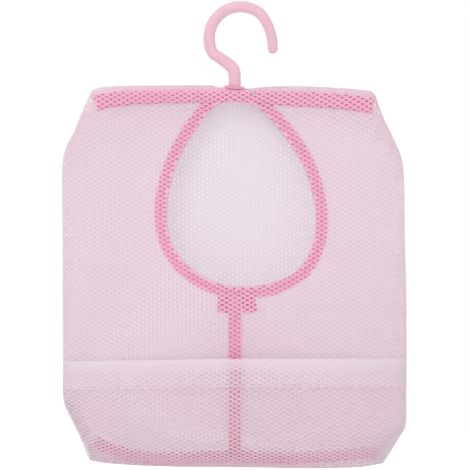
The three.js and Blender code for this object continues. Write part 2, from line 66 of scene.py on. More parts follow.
# How far the front stands out: at the sleeve, at its fullest, and how it rounds under at the foot
SLEEVE_DEPTH = 15 * MM
FULL_DEPTH = 36 * MM
SWELL_HEIGHT = 170 * MM
FLOOR_START = BAG_TOP - 257.6 * MM
SLEEVE_POWER = 8
FRONT_POWER = 2.6
POWER_FADE = 60 * MM
TOP_ROUNDING = 5 * MM

# Outline in the front view, in millimetres: across from the middle, and level
LEFT_SIDE = [
    (-119.8, -64.8), (-122.4, -68.4), (-129.2, -83.0), (-136.2, -100.0), (-144.6, -117.0),
    (-146.6, -128.0), (-146.6, -200.0), (-146.2, -300.0), (-145.6, -331.0), (-142.0, -340.5),
    (-134.3, -356.7), (-124.0, -381.5),
]
RIGHT_SIDE = [
    (117.6, -67.0), (120.0, -71.0), (121.4, -76.0), (127.5, -91.5), (136.0, -108.5),
    (142.6, -125.5), (144.2, -143.0), (144.9, -190.0), (146.2, -240.0), (146.2, -330.0),
    (145.8, -350.0), (144.3, -355.5), (139.4, -363.5), (134.3, -372.0), (129.4, -380.0), (126.6, -384.0),
]
TOP_EDGE = [(-123, -68.6), (-121, -66.0), (-118, -64.4), (-112, -63.2), (-60, -61.9), (-10, -62.2),
            (14, -64.0), (32, -62.8), (60, -62.8), (91, -64.3), (111, -66.0), (116, -67.0), (119, -69.4)]
BOTTOM_EDGE = [(-124, -381.2), (-113, -383.2), (-93, -384.9), (-52, -386.5), (30, -387.4),
               (55, -388.0), (91, -387.6), (111, -386.6), (126, -384.0)]

# Middle of the sleeve's tape
BAND_LINE = [(-118, -78.0), (-110.5, -75.8), (-97.8, -73.6), (-80.8, -72.2), (-63.8, -71.6), (-46.8, -71.2),
             (-8.5, -70.3), (15, -71.0), (34, -72.6), (55.3, -74.0), (72.3, -74.9), (89.3, -76.2),
             (106.3, -78.2), (118, -80.0)]
BAND_REACH = 118.0
BAND_HALF = 6.5

# Middle of the opening's binding, from under the sleeve down the left side and up the right one
OPENING_LINE = [
    (-5.0, -70.6), (-13.0, -72.6), (-21.0, -77.4), (-28.4, -85.2), (-35.6, -95.2), (-45.5, -110.2),
    (-53.6, -127.2), (-59.1, -144.2), (-62.2, -161.2), (-62.3, -178.2), (-58.7, -195.2), (-49.0, -212.2),
    (-38.6, -222.2), (-27.2, -229.4), (-12.0, -235.7), (5.1, -237.6), (28.0, -235.8), (45.5, -229.6),
    (56.2, -222.2), (64.6, -212.2), (71.7, -195.2), (73.6, -178.2), (72.3, -161.2), (68.4, -144.2),
    (62.1, -127.2), (51.9, -110.2), (40.4, -95.2), (31.0, -84.9), (22.5, -77.8), (14.0, -73.0), (6.0, -71.0),
]
BINDING_HALF = 4.9

CENTRE_LINE = 0.2
TAPE_FOOT = -376.0
RING_FOOT = -237.6
POCKET_MOUTH = [(-147, -296.4), (-70, -294.4), (0, -293.0), (75, -293.2), (147, -293.9)]
HEM_WIDTH = 23.8
BOTTOM_BAND = [(-119, -365.2), (-108, -369.8), (-98, -374.0), (-77, -378.6), (-57, -379.6),
               (-26, -378.4), (0, -377.4), (28, -378.8), (55, -378.6), (81, -377.0),
               (106, -374.8), (121, -372.4)]
BOTTOM_HALF = 5.4

# Layers, out from the middle of the cloth
REAR = -0.5 * MM
TAPE_LAYER = -1.38 * MM
STITCH_LAYER = 0.28 * MM
HEM_STITCH_LAYER = 2.35 * MM
CORNER_LAYER = -1.35 * MM
BOTTOM_TAPE_LAYER = -1.25 * MM
BOTTOM_STITCH_LAYER = -1.95 * MM


def size_setting(label, text, millimetres):
    """A size that a user may change"""
    return FloatProperty(name=label, description=text, default=millimetres * MM, unit="LENGTH")


def colour_setting(label, text, value):
    """A colour that a user may change"""
    return FloatVectorProperty(name=label, description=text, subtype="COLOR", size=3, default=value)


class NetSizes(bpy.types.PropertyGroup):
    """Sizes of the knitted net"""

    pitch: size_setting("Pitch", "From hole to hole along a row", 7.0)
    row: size_setting("Row height", "From a hole to the next one above it", 3.9)
    hole_width: size_setting("Hole width", "Width of a hole between its points", 3.2)
    hole_height: size_setting("Hole height", "Height of a hole at its middle", 1.45)
    thickness: size_setting("Thickness", "Thickness of the net at its knots", 0.7)


class SewnSizes(bpy.types.PropertyGroup):
    """Sizes of the tapes and the sewing"""

    tape: size_setting("Tape", "Thickness of the sewn tapes", 0.9)
    stitch: size_setting("Stitch", "From one stitch to the next", 3.4)
    thread: size_setting("Thread", "Thickness of the sewing thread", 0.42)


class BagColours(bpy.types.PropertyGroup):
    """Colours of the cloth and plastic, some of them painted light and shade"""

    net: colour_setting("Net", "Colour of the pale net", (0.965, 0.867, 0.915))
    # Painted shade: a darker copy of the net's colour for the back net's inner side
    net_behind: colour_setting("Net behind", "Inner side of the net at the back, in the bag's own shade",
                               (0.838, 0.797, 0.831))
    # Painted glow: the pale net's strands are painted this pink where a tape lies right behind them
    net_tape_glow: colour_setting("Net on tape", "Net with a pink tape right behind it", (1.0, 0.50, 0.69))
    tape: colour_setting("Tape", "Colour of the pink tapes", (0.98, 0.33, 0.50))
    tape_low: colour_setting("Tape low down", "Paler tapes behind the pocket", (1.0, 0.56, 0.70))
    # Painted light: a lighter copy of the tape's colour for the lip, where the tape turns out into the light
    lip: colour_setting("Lip", "Tape turned out at the slit", (1.0, 0.50, 0.68))
    thread: colour_setting("Thread", "Colour of the pale sewing thread", (0.88, 0.68, 0.78))
    # Painted light: a lighter copy of the pale thread's colour for the bar tack on the slit's edge
    bar_tack: colour_setting("Bar tack", "Bright thread beside the slit", (1.0, 0.80, 0.89))
    plastic: colour_setting("Plastic", "Colour of the moulded hook", (0.81, 0.505, 0.60))


class StageSettings(bpy.types.PropertyGroup):
    """Lights and camera"""

    lens: FloatProperty(name="Lens", description="Focal length of the long lens, in millimetres",
                        default=250.0)
    sky: FloatProperty(name="Sky", description="Strength of the even light all round", default=0.75)
    key: FloatProperty(name="Key", description="Strength of the soft light from the front", default=0.8)
    fill: FloatProperty(name="Fill", description="Strength of the light from the other side", default=0.3)
    behind: FloatProperty(name="Behind", description="Strength of the light through the bag", default=0.95)


SETTINGS = {"mesh_bag_net": NetSizes, "mesh_bag_sewn": SewnSizes,
            "mesh_bag_colours": BagColours, "mesh_bag_stage": StageSettings}


# Curves, given by a few points
def curve_through(points, steps=12):
    """Points close together on a smooth curve that passes through the given ones"""
    p = np.array(points, float)
    p = np.vstack([2 * p[0] - p[1], p, 2 * p[-1] - p[-2]])
    out = []
    for a, b, c, d in zip(p, p[1:], p[2:], p[3:]):
        t0, t1 = 0.0, np.linalg.norm(b - a) ** 0.5
        t2 = t1 + np.linalg.norm(c - b) ** 0.5
        t3 = t2 + np.linalg.norm(d - c) ** 0.5
        t = np.linspace(t1, t2, steps, endpoint=False)[:, None]
        ab = ((t1 - t) * a + (t - t0) * b) / (t1 - t0)
        bc = ((t2 - t) * b + (t - t1) * c) / (t2 - t1)
        cd = ((t3 - t) * c + (t - t2) * d) / (t3 - t2)
        abc = ((t2 - t) * ab + (t - t0) * bc) / (t2 - t0)
        bcd = ((t3 - t) * bc + (t - t1) * cd) / (t3 - t1)
        out.append(((t2 - t) * abc + (t - t1) * bcd) / (t2 - t1))
    return np.vstack([*out, p[-2][None]])


def run_along(line):
    """Length of a line up to each of its points"""
    return np.concatenate([[0], np.cumsum(np.linalg.norm(np.diff(line, axis=0), axis=1))])


def heading(line, *along):
    """The way that a line runs at each of its points"""
    way = np.gradient(line, *along, axis=0)
    return way / np.linalg.norm(way, axis=1)[:, None]


def evenly(points, spacing):
    """The same line with its points evenly spaced"""
    points = np.asarray(points, float)
    along = run_along(points)
    at = np.linspace(0, along[-1], max(2, int(round(along[-1] / spacing)) + 1))
    return np.column_stack([np.interp(at, along, points[:, i]) for i in range(points.shape[1])])


def beside(curve, distance):
    """The same line moved to its left by a distance"""
    way = heading(curve)
    return curve + np.column_stack([-way[:, 1], way[:, 0]]) * distance


def smooth(share):
    """Eases from 0 to 1"""
    share = np.clip(share, 0, 1)
    return share * share * (3 - 2 * share)


def ordered(points, axis):
    """A smooth curve in metres, with its points in order across the bag or up it"""
    curve = curve_through(points) * MM
    return curve[np.argsort(curve[:, axis])]


def level_along(points):
    """The level of a line across the bag, for any x"""
    curve = ordered(points, 0)
    return lambda x: np.interp(x, curve[:, 0], curve[:, 1])


top_level, bottom_level, mouth_level, band_level = (
    level_along(points) for points in (TOP_EDGE, BOTTOM_EDGE, POCKET_MOUTH, BAND_LINE))
bottom_curve, bottom_band_curve = ordered(BOTTOM_EDGE, 0), ordered(BOTTOM_BAND, 0)
left_curve, right_curve = ordered(LEFT_SIDE, 1), ordered(RIGHT_SIDE, 1)


def half_width(right, z):
    """From the middle to the right or the left side fold, at a level"""
    sides = [np.interp(z, curve[:, 1], curve[:, 0]) for curve in (right_curve, left_curve)]
    return np.abs(np.where(right, *sides))


def sleeve_foot_level(x):
    """Where the sleeve is sewn to the panels, at the foot of its tape"""
    return band_level(x) - BAND_HALF * MM


# The front of the bag unrolled: u across from the middle, v down the cloth from the sleeve's foot.
# Above the sleeve's foot v is below zero, goes over the top and down behind.
FLOOR_HEIGHT = FLOOR_START - float(bottom_level(0.0))
STRAIGHT = PANEL_TOP - FLOOR_START
turns = np.linspace(0, math.pi / 2, 200)
turn_steps = np.hypot(FLOOR_HEIGHT * np.cos(turns), FULL_DEPTH * np.sin(turns))
floor_run = np.concatenate([[0], np.cumsum((turn_steps[1:] + turn_steps[:-1]) / 2 * turns[1])])
FULL_RUN = STRAIGHT + floor_run[-1]
V_FIRST, V_STEP = -60 * MM, 2 * MM
v_grid = np.arange(V_FIRST, FULL_RUN + 3 * V_STEP, V_STEP)
S_COUNT = 300
s_grid = np.linspace(0, 1, S_COUNT)


def floor_turn(v):
    return np.interp(v - STRAIGHT, floor_run, turns)


def bulge_at(v):
    """How far the front stands off the side folds, at a distance down the cloth"""
    swell = SLEEVE_DEPTH + (FULL_DEPTH - SLEEVE_DEPTH) * smooth(v / SWELL_HEIGHT)
    depth = np.where(v > STRAIGHT, FULL_DEPTH * np.cos(floor_turn(v)), swell)
    return np.maximum(depth - (BACK - FOLD), 0)


def power_at(v):
    return FRONT_POWER + (SLEEVE_POWER - FRONT_POWER) * (1 - smooth(v / POWER_FADE))


def plain_level(v):
    return np.where(v > STRAIGHT, FLOOR_START - FLOOR_HEIGHT * np.sin(floor_turn(v)), PANEL_TOP - v)


CREST = BAG_TOP - TOP_ROUNDING


def over_run(half_depth):
    """Length of the cloth over the top of the bag, from its front to its back"""
    return math.pi * np.sqrt((half_depth ** 2 + TOP_ROUNDING ** 2) / 2)


def side_level(v):
    """Level of the side fold at a length down the cloth, which goes over the top above the sleeve's foot"""
    up = PANEL_TOP - v
    behind = CREST - np.maximum(up - CREST - over_run(SLEEVE_DEPTH / 2), 0)
    return np.minimum(np.where(v > 0, plain_level(v), np.where(up < CREST, up, behind)), CREST)


def unroll(right):
    """For each v, the cloth's length to the side fold and the shares of the way across it"""
    lengths, across = [], []
    for v in v_grid:
        bulge, power = float(bulge_at(v)), float(power_at(v))
        wide = float(half_width(right, float(side_level(v))))
        angle = np.linspace(0, math.pi / 2, 500)
        x = np.sin(angle) ** (2 / power)
        y = np.cos(angle) ** (2 / power)
        run = np.concatenate([[0], np.cumsum(np.hypot(np.diff(x) * wide, np.diff(y) * bulge))])
        lengths.append(run[-1])
        across.append(np.interp(s_grid, run / run[-1], x))
    return np.array(lengths), np.array(across)


UNROLLED = {right: unroll(right) for right in (False, True)}


def sample(table, row, column):
    """A table read between its rows and columns"""
    row = np.clip(row, 0, table.shape[0] - 1.001)
    column = np.clip(column, 0, table.shape[1] - 1.001)
    i, j = row.astype(int), column.astype(int)
    p, q = row - i, column - j
    near = table[i, j] * (1 - q) + table[i, j + 1] * q
    far = table[i + 1, j] * (1 - q) + table[i + 1, j + 1] * q
    return near * (1 - p) + far * p


def grid_row(v):
    return (v - V_FIRST) / V_STEP


def cloth_length(u, v):
    """Length of the cloth from the middle to the side fold that u lies towards"""
    rows = np.arange(len(v_grid))
    return np.where(u < 0, *(np.interp(grid_row(v), rows, UNROLLED[right][0]) for right in (False, True)))


def section(u, v):
    """Share of the half width, and the half width, at a place on the cloth"""
    share = np.clip(np.abs(u) / cloth_length(u, v), 0, 1) * (S_COUNT - 1)
    a = np.where(u < 0, *(sample(UNROLLED[right][1], grid_row(v), share) for right in (False, True)))
    return np.clip(a, 0, 1), half_width(u >= 0, side_level(v))


def ripple(x, z, a):
    """Soft waves of the hanging cloth: one across, one slanting and one down it"""
    low = smooth((PANEL_TOP - z) / (90 * MM))
    wave = np.sin(x / (19 * MM) + 0.8 * np.sin(z / (52 * MM))) * 0.55
    wave += np.sin(x / (37 * MM) - z / (71 * MM) + 1.3) * 0.8
    wave += np.sin(z / (31 * MM) + x / (58 * MM)) * 0.35
    return wave * MM * low * (1 - a ** 4)


def wrap(u, v):
    """Where a place on the unrolled cloth lies on the bag"""
    a, wide = section(u, v)
    x = np.sign(u) * a * wide
    power = power_at(v)
    bulge = bulge_at(v) * (1 - a ** power) ** (1 / power)
    sunk = np.sin(floor_turn(v))
    z = np.where(v > STRAIGHT, FLOOR_START - (FLOOR_START - bottom_level(x)) * sunk, PANEL_TOP - v)
    y = FOLD - bulge + ripple(x, z, a) * np.minimum(bulge / SLEEVE_DEPTH, 1)
    crest = top_level(x) - TOP_ROUNDING
    over = np.maximum(z - crest, 0)
    half_depth = (BACK - y) / 2
    arch = over_run(half_depth)
    turn = math.pi * np.clip(over / arch, 0, 1)
    z_over = crest + TOP_ROUNDING * np.sin(turn) - np.maximum(over - arch, 0)
    y_over = (BACK + y) / 2 - half_depth * np.cos(turn)
    past = over > 0
    return np.column_stack([x, np.where(past, y_over, y), np.where(past, z_over, z)])


def outwards(u, v):
    """The way out of the cloth at a place on it"""
    step = 0.4 * MM
    most = cloth_length(u, v) - 3 * step
    u = np.clip(u, -most, most)
    v = np.minimum(v, FULL_RUN - 3 * step)
    across = wrap(u + step, v) - wrap(u - step, v)
    down = wrap(u, v + step) - wrap(u, v - step)
    way = np.cross(down, across)
    return way / np.maximum(np.linalg.norm(way, axis=1), 1e-12)[:, None]


def on_front(flat, lift=0.0):
    """Lays flat points (u, v, out) on the bag, a layer out from its cloth"""
    u, v = flat[:, 0], flat[:, 1]
    place = wrap(u, v) + outwards(u, v) * (flat[:, 2] + lift)[:, None]
    return place + np.array([MIDDLE, 0, 0])


def on_cloth(seen, layer=0.0):
    """Lays places in the front view, with their height off the cloth, on the bag"""
    return on_front(np.column_stack([flatten(seen), seen[:, 2]]), layer)


def flatten(points):
    """Places in the front view, in metres, as places on the unrolled cloth"""
    points = np.asarray(points, float)
    x, z = points[:, 0], points[:, 1]
    sunk = np.clip((FLOOR_START - z) / (FLOOR_START - bottom_level(x)), 0, 1)
    v = np.where(z >= FLOOR_START, PANEL_TOP - z, STRAIGHT + np.interp(np.arcsin(sunk), turns, floor_run))
    u = np.empty(len(x))
    for i in range(len(x)):
        right = x[i] >= 0
        row = min(max(int(round(grid_row(v[i]))), 0), len(v_grid) - 1)
        wide = float(half_width(right, float(side_level(v[i]))))
        share = np.interp(min(abs(x[i]) / wide, 1), UNROLLED[right][1][row], s_grid)
        length = float(cloth_length(np.array([x[i]]), np.array([v[i]]))[0])
        u[i] = (1 if right else -1) * share * length
    return np.column_stack([u, v])


# Flat outlines that pieces of cloth are cut to
def signed_distance(points, loop):
    """Distance inside a closed outline, below zero outside it, and the nearest place on it"""
    start, end = loop, np.roll(loop, -1, axis=0)
    best = np.full(len(points), np.inf)
    nearest = np.zeros((len(points), 2))
    inside = np.zeros(len(points), bool)
    px, py = points[:, 0], points[:, 1]
    for (x0, y0), (x1, y1) in zip(start, end):
        dx, dy = x1 - x0, y1 - y0
        square = dx * dx + dy * dy
        if square < 1e-16:
            continue
        t = np.clip(((px - x0) * dx + (py - y0) * dy) / square, 0, 1)
        qx, qy = x0 + t * dx, y0 + t * dy
        gap = (px - qx) ** 2 + (py - qy) ** 2
        nearer = gap < best
        best = np.where(nearer, gap, best)
        nearest[nearer, 0], nearest[nearer, 1] = qx[nearer], qy[nearer]
        crosses = (y0 > py) != (y1 > py)
        if dy:
            inside ^= crosses & (px < x0 + (py - y0) * dx / dy)
    return np.where(inside, 1, -1) * np.sqrt(best), nearest


class Cut:
    """A piece of cloth's outline: inside some closed lines and outside others. Across a shared line
    the net goes on in the next piece, hole by hole"""

    def __init__(self, inside, outside=(), shared=()):
        self.loops = [(loop, 1) for loop in inside] + [(loop, -1) for loop in outside]
        self.shared = shared

    def holds(self, holes, margin):
        kept = self.distance(holes) >= margin
        for loop in self.shared:
            kept &= signed_distance(holes, loop)[0] > 0
        return kept

    def distance(self, points):
        return np.min([sign * signed_distance(points, loop)[0] for loop, sign in self.loops], axis=0)

    def to_edge(self, points):
        best = np.full(len(points), np.inf)
        out = points.copy()
        for loop, _ in self.loops:
            distance, nearest = signed_distance(points, loop)
            nearer = np.abs(distance) < best
            best = np.where(nearer, np.abs(distance), best)
            out[nearer] = nearest[nearer]
        return out

    def box(self):
        loop = self.loops[0][0]
        return loop.min(0), loop.max(0)


def cloth_outline(v_low, v_high):
    """The unrolled front between two lengths down the cloth"""
    v = evenly(np.array([[0.0, v_low], [0.0, v_high]]), 2.5 * MM)[:, 1]
    left = np.column_stack([-cloth_length(np.full(len(v), -1.0), v), v])
    right = np.column_stack([cloth_length(np.ones(len(v)), v), v])
    return np.vstack([left, right[::-1]])


def line_across(level, reach=148 * MM):
    """A line across the bag at a level that changes along it, unrolled"""
    x = np.linspace(-reach, reach, 90)
    return flatten(np.column_stack([x, level(x)]))


# Past every edge of the cloth
FAR = 0.4


def beyond(line, far):
    """All the cloth on one side of a line across it"""
    return np.vstack([line, [[FAR, line[-1, 1]], [FAR, far], [-FAR, far], [-FAR, line[0, 1]]]])


sleeve_foot = line_across(sleeve_foot_level, 130 * MM)
left_half = np.array([[-FAR, -FAR], [CENTRE_LINE * MM, -FAR], [CENTRE_LINE * MM, 2 * FAR], [-FAR, 2 * FAR]])
right_half = left_half * [-1, 1] + [2 * CENTRE_LINE * MM, 0]
binding_curve = evenly(curve_through(OPENING_LINE) * MM, 3 * MM)
lowest = int(np.argmin(binding_curve[:, 1]))
left_ring, right_ring = binding_curve[:lowest + 1], binding_curve[lowest:]
opening_line = beside(binding_curve, BINDING_HALF * MM)
opening_line[:, 1] = np.minimum(opening_line[:, 1], sleeve_foot_level(opening_line[:, 0]))
opening_edge = flatten(opening_line)
front_outline = cloth_outline(-20 * MM, FULL_RUN)


def band_loop(curve, half):
    """Outline of a strip of tape along a line in the front view, unrolled"""
    return flatten(np.vstack([beside(curve, half * MM), beside(curve, -half * MM)[::-1]]))


band_x = np.linspace(-BAND_REACH, BAND_REACH, 60) * MM
band_curve = np.column_stack([band_x, band_level(band_x)])
CENTRE_HALF = 5.8
bottom_line = evenly(bottom_band_curve, 4 * MM)
centre_curve = evenly(np.array([[CENTRE_LINE, RING_FOOT - 4], [CENTRE_LINE, TAPE_FOOT]]) * MM, 4 * MM)
TAIL_LEFT = np.array([(-7.8, RING_FOOT + 3), (-8.4, RING_FOOT - 8), (-9.3, RING_FOOT - 17)]) * MM
TAIL_RIGHT = np.array([(10.4, RING_FOOT + 3), (11.6, RING_FOOT - 8), (13.4, RING_FOOT - 17)]) * MM
TAIL_HALF = 6.3

# Tapes that show through the net, and how strongly the net before them is painted with their pink glow:
# those right behind it, and those behind the pocket
TAPED = [
    (band_loop(band_curve, BAND_HALF), 1.0),
    (band_loop(binding_curve, BINDING_HALF), 1.0),
    (band_loop(evenly(TAIL_LEFT, 3 * MM), TAIL_HALF + 0.1), 1.0),
    (band_loop(evenly(TAIL_RIGHT, 3 * MM), TAIL_HALF - 0.1), 1.0),
    (band_loop(centre_curve, CENTRE_HALF), 0.95),
]
UNDER_POCKET = [
    (band_loop(centre_curve, CENTRE_HALF), 0.5),
    (band_loop(bottom_band_curve, BOTTOM_HALF), 0.55),
]
# Painted glow of a tape on the net: its share and fade past the tape's edge, and how soft that edge is for
# tapes close behind and further back
GLOW_SHARE, GLOW_FADE = 0.28, 2.8 * MM
CLOSE_BEHIND, CLOSE_SOFT, FAR_SOFT = 0.9, 1.4 * MM, 2.4 * MM


def taped(points, tapes):
    """How strongly the net is painted with the pink glow of a tape behind it, 0 to 1, with a faint painted
    glow beside it
    """
    amount = np.zeros(len(points))
    for loop, share in tapes:
        soft = CLOSE_SOFT if share > CLOSE_BEHIND else FAR_SOFT
        inside = signed_distance(points, loop)[0]
        glow = GLOW_SHARE * np.exp(np.minimum(inside, 0) / GLOW_FADE)
        amount = np.maximum(amount, share * np.maximum(smooth((inside + soft) / (2 * soft)), glow))
    return amount


# Modelling by hand: small helpers round Blender's own operators
def start():
    if bpy.context.object and bpy.context.object.mode != "OBJECT":
        bpy.ops.object.mode_set(mode="OBJECT")
    bpy.ops.object.select_all(action="DESELECT")


def added(name):
    piece = bpy.context.object
    piece.name = piece.data.name = name
    return piece


def edit(select="SELECT"):
    bpy.ops.object.mode_set(mode="EDIT")
    bpy.ops.mesh.select_mode(type="VERT")
    bpy.ops.mesh.select_all(action=select)


def done():
    bpy.ops.object.mode_set(mode="OBJECT")


def resize(*share):
    bpy.ops.transform.resize(value=share, center_override=(0, 0, 0))


def points_of(piece):
    co = np.empty(len(piece.data.vertices) * 3, np.float32)
    piece.data.vertices.foreach_get("co", co)
    return co.reshape(-1, 3).astype(float)


def move_points(piece, points):
    piece.data.vertices.foreach_set("co", points.astype(np.float32).ravel())
    piece.data.update()


def modify(kind, **settings):
    """Adds a modifier to the piece at hand, sets it and applies it"""
    bpy.ops.object.modifier_add(type=kind)
    modifier = bpy.context.object.modifiers[-1]
    for name, value in settings.items():
        setattr(modifier, name, value)
    bpy.ops.object.modifier_apply(modifier=modifier.name)


def repeat(count, offset):
    modify("ARRAY", count=count, use_relative_offset=False, use_constant_offset=True,
           constant_offset_displace=offset)


def choose(piece, kind, chosen):
    """Selects some of a piece's vertices or edges, and goes to edit mode"""
    edit("DESELECT")
    bpy.ops.mesh.select_mode(type="EDGE" if kind == "edges" else "VERT")
    done()
    getattr(piece.data, kind).foreach_set("select", chosen)
    bpy.ops.object.mode_set(mode="EDIT")


def open_edges(piece):
    """The two ends of each edge, and whether only one face uses it"""
    ends = np.empty(len(piece.data.edges) * 2, np.int32)
    piece.data.edges.foreach_get("vertices", ends)
    used = np.empty(len(piece.data.loops), np.int32)
    piece.data.loops.foreach_get("edge_index", used)
    return ends.reshape(-1, 2), np.bincount(used, minlength=len(ends) // 2) == 1


def merge(distance=0.02 * MM):
    bpy.ops.mesh.select_all(action="SELECT")
    bpy.ops.mesh.remove_doubles(threshold=distance)


def dress(piece, body, material, slot, *nodes):
    """Gives a finished piece its material, its body and the nodes that it stands for"""
    edit()
    bpy.ops.mesh.normals_make_consistent(inside=False)
    done()
    bpy.ops.object.shade_smooth_by_angle(angle=math.radians(60))
    piece.data.materials.clear()
    piece.data.materials.append(material)
    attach(piece, body)
    if nodes:
        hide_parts(*nodes)
    return piece


# A tile of net: its points, half the thickness of a cut edge once it is drawn together, the strand left
# along a cut, and how far past the cut net is laid
HOLE_POINTS = 18
HEM_HALF = 0.12 * MM
EDGE_STRAND = 0.35 * MM
NET_MARGIN = 12 * MM


def one_hole(name):
    """The net's repeat: a hole in a ring of knitted strands, thick outside and thin at the hole"""
    net = bpy.context.scene.mesh_bag_net
    radius, half_row, half_thick = net.pitch / 3, net.row / 2, net.thickness / 2
    start()
    bpy.ops.mesh.primitive_circle_add(vertices=6, radius=radius, rotation=(0, 0, math.pi / 2))
    bpy.ops.object.transform_apply(location=True, rotation=True, scale=True)
    piece = added(name)
    edit()
    resize(1, half_row / (radius * math.sin(math.pi / 3)), 1)
    bpy.ops.transform.translate(value=(0, 0, half_thick))
    bpy.ops.mesh.extrude_region_move(TRANSFORM_OT_translate={"value": (0, 0, -half_thick)})
    resize(net.hole_width / 2 / radius, net.hole_height / 2 / half_row, 1)
    bpy.ops.mesh.select_all(action="SELECT")
    bpy.ops.mesh.duplicate()
    resize(1, 1, -1)
    merge()
    done()
    return piece


# How steeply rows rise to the left and the right, how far out that starts, and how it fades down the bag
LEFT_RISE, RIGHT_RISE = 0.05, 0.08
RISE_START, RISE_FADE = 25 * MM, 45 * MM


def hung_rows(flat):
    """Rows of holes at the front, which rise towards both ends of the hanger"""
    u, v = flat.T
    rise = np.where(u < 0, LEFT_RISE, RIGHT_RISE) * (np.hypot(u, RISE_START) - RISE_START)
    return flat - np.column_stack([0 * rise, rise * np.exp(-np.maximum(v, 0) / RISE_FADE)])


def draw_holes(tiles, holes, cut, size):
    """Draws holes smaller where the cloth is drawn together, and keeps them inside its edge"""
    at_hole = np.abs(tiles[:, :, 2]) < 0.01 * MM
    shrunk = holes[:, None] + (tiles[:, :, :2] - holes[:, None]) * size[:, None, None]
    tiles[:, :, :2] = np.where(at_hole[:, :, None], shrunk, tiles[:, :, :2])
    near = np.abs(cut.distance(holes)) < 0.5 * bpy.context.scene.mesh_bag_net.pitch
    points = tiles[near][:, :, :2].reshape(-1, 2)
    inside, edge = cut.distance(points), cut.to_edge(points)
    over = at_hole[near].ravel() & (inside < EDGE_STRAND) & (np.abs(inside) > 1e-7)
    points[over] = edge[over] + (points[over] - edge[over]) / inside[over, None] * EDGE_STRAND
    drawn = tiles[near]
    drawn[:, :, :2] = points.reshape(-1, HOLE_POINTS, 2)
    tiles[near] = drawn


def draw_rim(piece, cut):
    """Draws the net's open edge out to the cut, and closes it with a thin wall"""
    net = bpy.context.scene.mesh_bag_net
    ends, once = open_edges(piece)
    flat = points_of(piece)
    rim = np.unique(ends[once])
    edge = cut.to_edge(flat[rim, :2])
    near = np.linalg.norm(edge - flat[rim, :2], axis=1) < 0.6 * net.pitch
    flat[rim[near], :2] = edge[near]
    flat[rim, 2] = np.sign(flat[rim, 2]) * HEM_HALF
    move_points(piece, flat)
    choose(piece, "edges", once & (flat[ends[:, 0], 2] > 0))
    bpy.ops.mesh.extrude_edges_move(TRANSFORM_OT_translate={"value": (0, 0, -2 * HEM_HALF)})
    merge(0.01 * MM)
    done()
    flat = points_of(piece)
    thin = np.abs(np.abs(flat[:, 2]) - HEM_HALF) < 0.1 * HEM_HALF
    thin &= np.linalg.norm(cut.to_edge(flat[:, :2]) - flat[:, :2], axis=1) > 0.1 * MM
    flat[thin, 2] = np.sign(flat[thin, 2]) * net.thickness / 2
    move_points(piece, flat)


def net_piece(name, cut, tilt=0.0, shift=(0.0, 0.0), drift=None, size=None):
    """A flat piece of net cut to an outline, with its edge drawn together, and its area"""
    net = bpy.context.scene.mesh_bag_net
    step = np.array([net.pitch, net.row])
    low, high = cut.box()
    piece = one_hole(name)
    across, down = (high - low + 2 * NET_MARGIN) / step
    repeat(int(across) + 1, (net.pitch, 0, 0))
    repeat(2, (net.pitch / 2, net.row / 2, 0))
    repeat(int(down) + 1, (0, net.row, 0))
    flat = points_of(piece)
    flat[:, :2] += np.floor((low - NET_MARGIN) / step) * step + shift
    middle = (low + high) / 2
    turn = np.array([[math.cos(tilt), math.sin(tilt)], [-math.sin(tilt), math.cos(tilt)]])
    flat[:, :2] = (flat[:, :2] - middle) @ turn + middle
    if drift:
        flat[:, :2] = drift(flat[:, :2])
    tiles = flat.reshape(-1, HOLE_POINTS, 3)
    holes = tiles[:, :, :2].mean(axis=1)
    draw_holes(tiles, holes, cut, size(holes) if size else np.ones(len(holes)))
    move_points(piece, tiles.reshape(-1, 3))
    kept = cut.holds(holes, 1.1 * EDGE_STRAND)
    choose(piece, "vertices", np.repeat(~kept, HOLE_POINTS))
    bpy.ops.mesh.delete(type="VERT")
    merge()
    done()
    draw_rim(piece, cut)
    return piece, float(kept.sum() * net.pitch * net.row / 2)


def mark(piece, name, amount):
    kept = piece.data.attributes
    attribute = kept.get(name) or kept.new(name, "FLOAT", "POINT")
    attribute.data.foreach_set("value", np.asarray(amount, np.float32))


def from_fold(flat):
    """How far places on the cloth lie from its side folds"""
    return cloth_length(flat[:, 0], flat[:, 1]) - np.abs(flat[:, 0])


def below_line(flat, line):
    """How far places on the cloth lie below a line across it"""
    return flat[:, 1] - np.interp(flat[:, 0], line[:, 0], line[:, 1])


# Painted light: where the net is painted paler beside the left and right folds, its reach and its fade, in
# millimetres
FOLD_PAINTED_LIGHT_FRONT = ((11, 8), (11, 8))
FOLD_PAINTED_LIGHT_POCKET = ((20, 16), (34, 27.2))


def mark_net(piece, tapes, pale=FOLD_PAINTED_LIGHT_FRONT):
    """Marks where the net is painted with the glow of a tape behind it, and where it is painted paler beside
    the side folds, which is painted light
    """
    flat = points_of(piece)
    mark(piece, "taped", taped(flat[:, :2], tapes))
    reach, fade = np.where(flat[:, :1] > 0, pale[1], pale[0]).T * MM
    mark(piece, "pale", smooth((reach - from_fold(flat)) / fade))
    return flat


TAPE_ROWS = 4


def strip(name, length, width, thickness, steps):
    """A flat tape with softened edges, from 0 to 1 along x, its width along y"""
    start()
    bpy.ops.mesh.primitive_grid_add(x_subdivisions=steps, y_subdivisions=TAPE_ROWS, size=1)
    piece = added(name)
    edit()
    resize(length, width, 1)
    done()
    modify("SOLIDIFY", thickness=thickness, offset=0)
    modify("BEVEL", width=0.25 * thickness, segments=2, limit_method="ANGLE")
    flat = points_of(piece)
    flat[:, 0] = flat[:, 0] / length + 0.5
    move_points(piece, flat)
    return piece


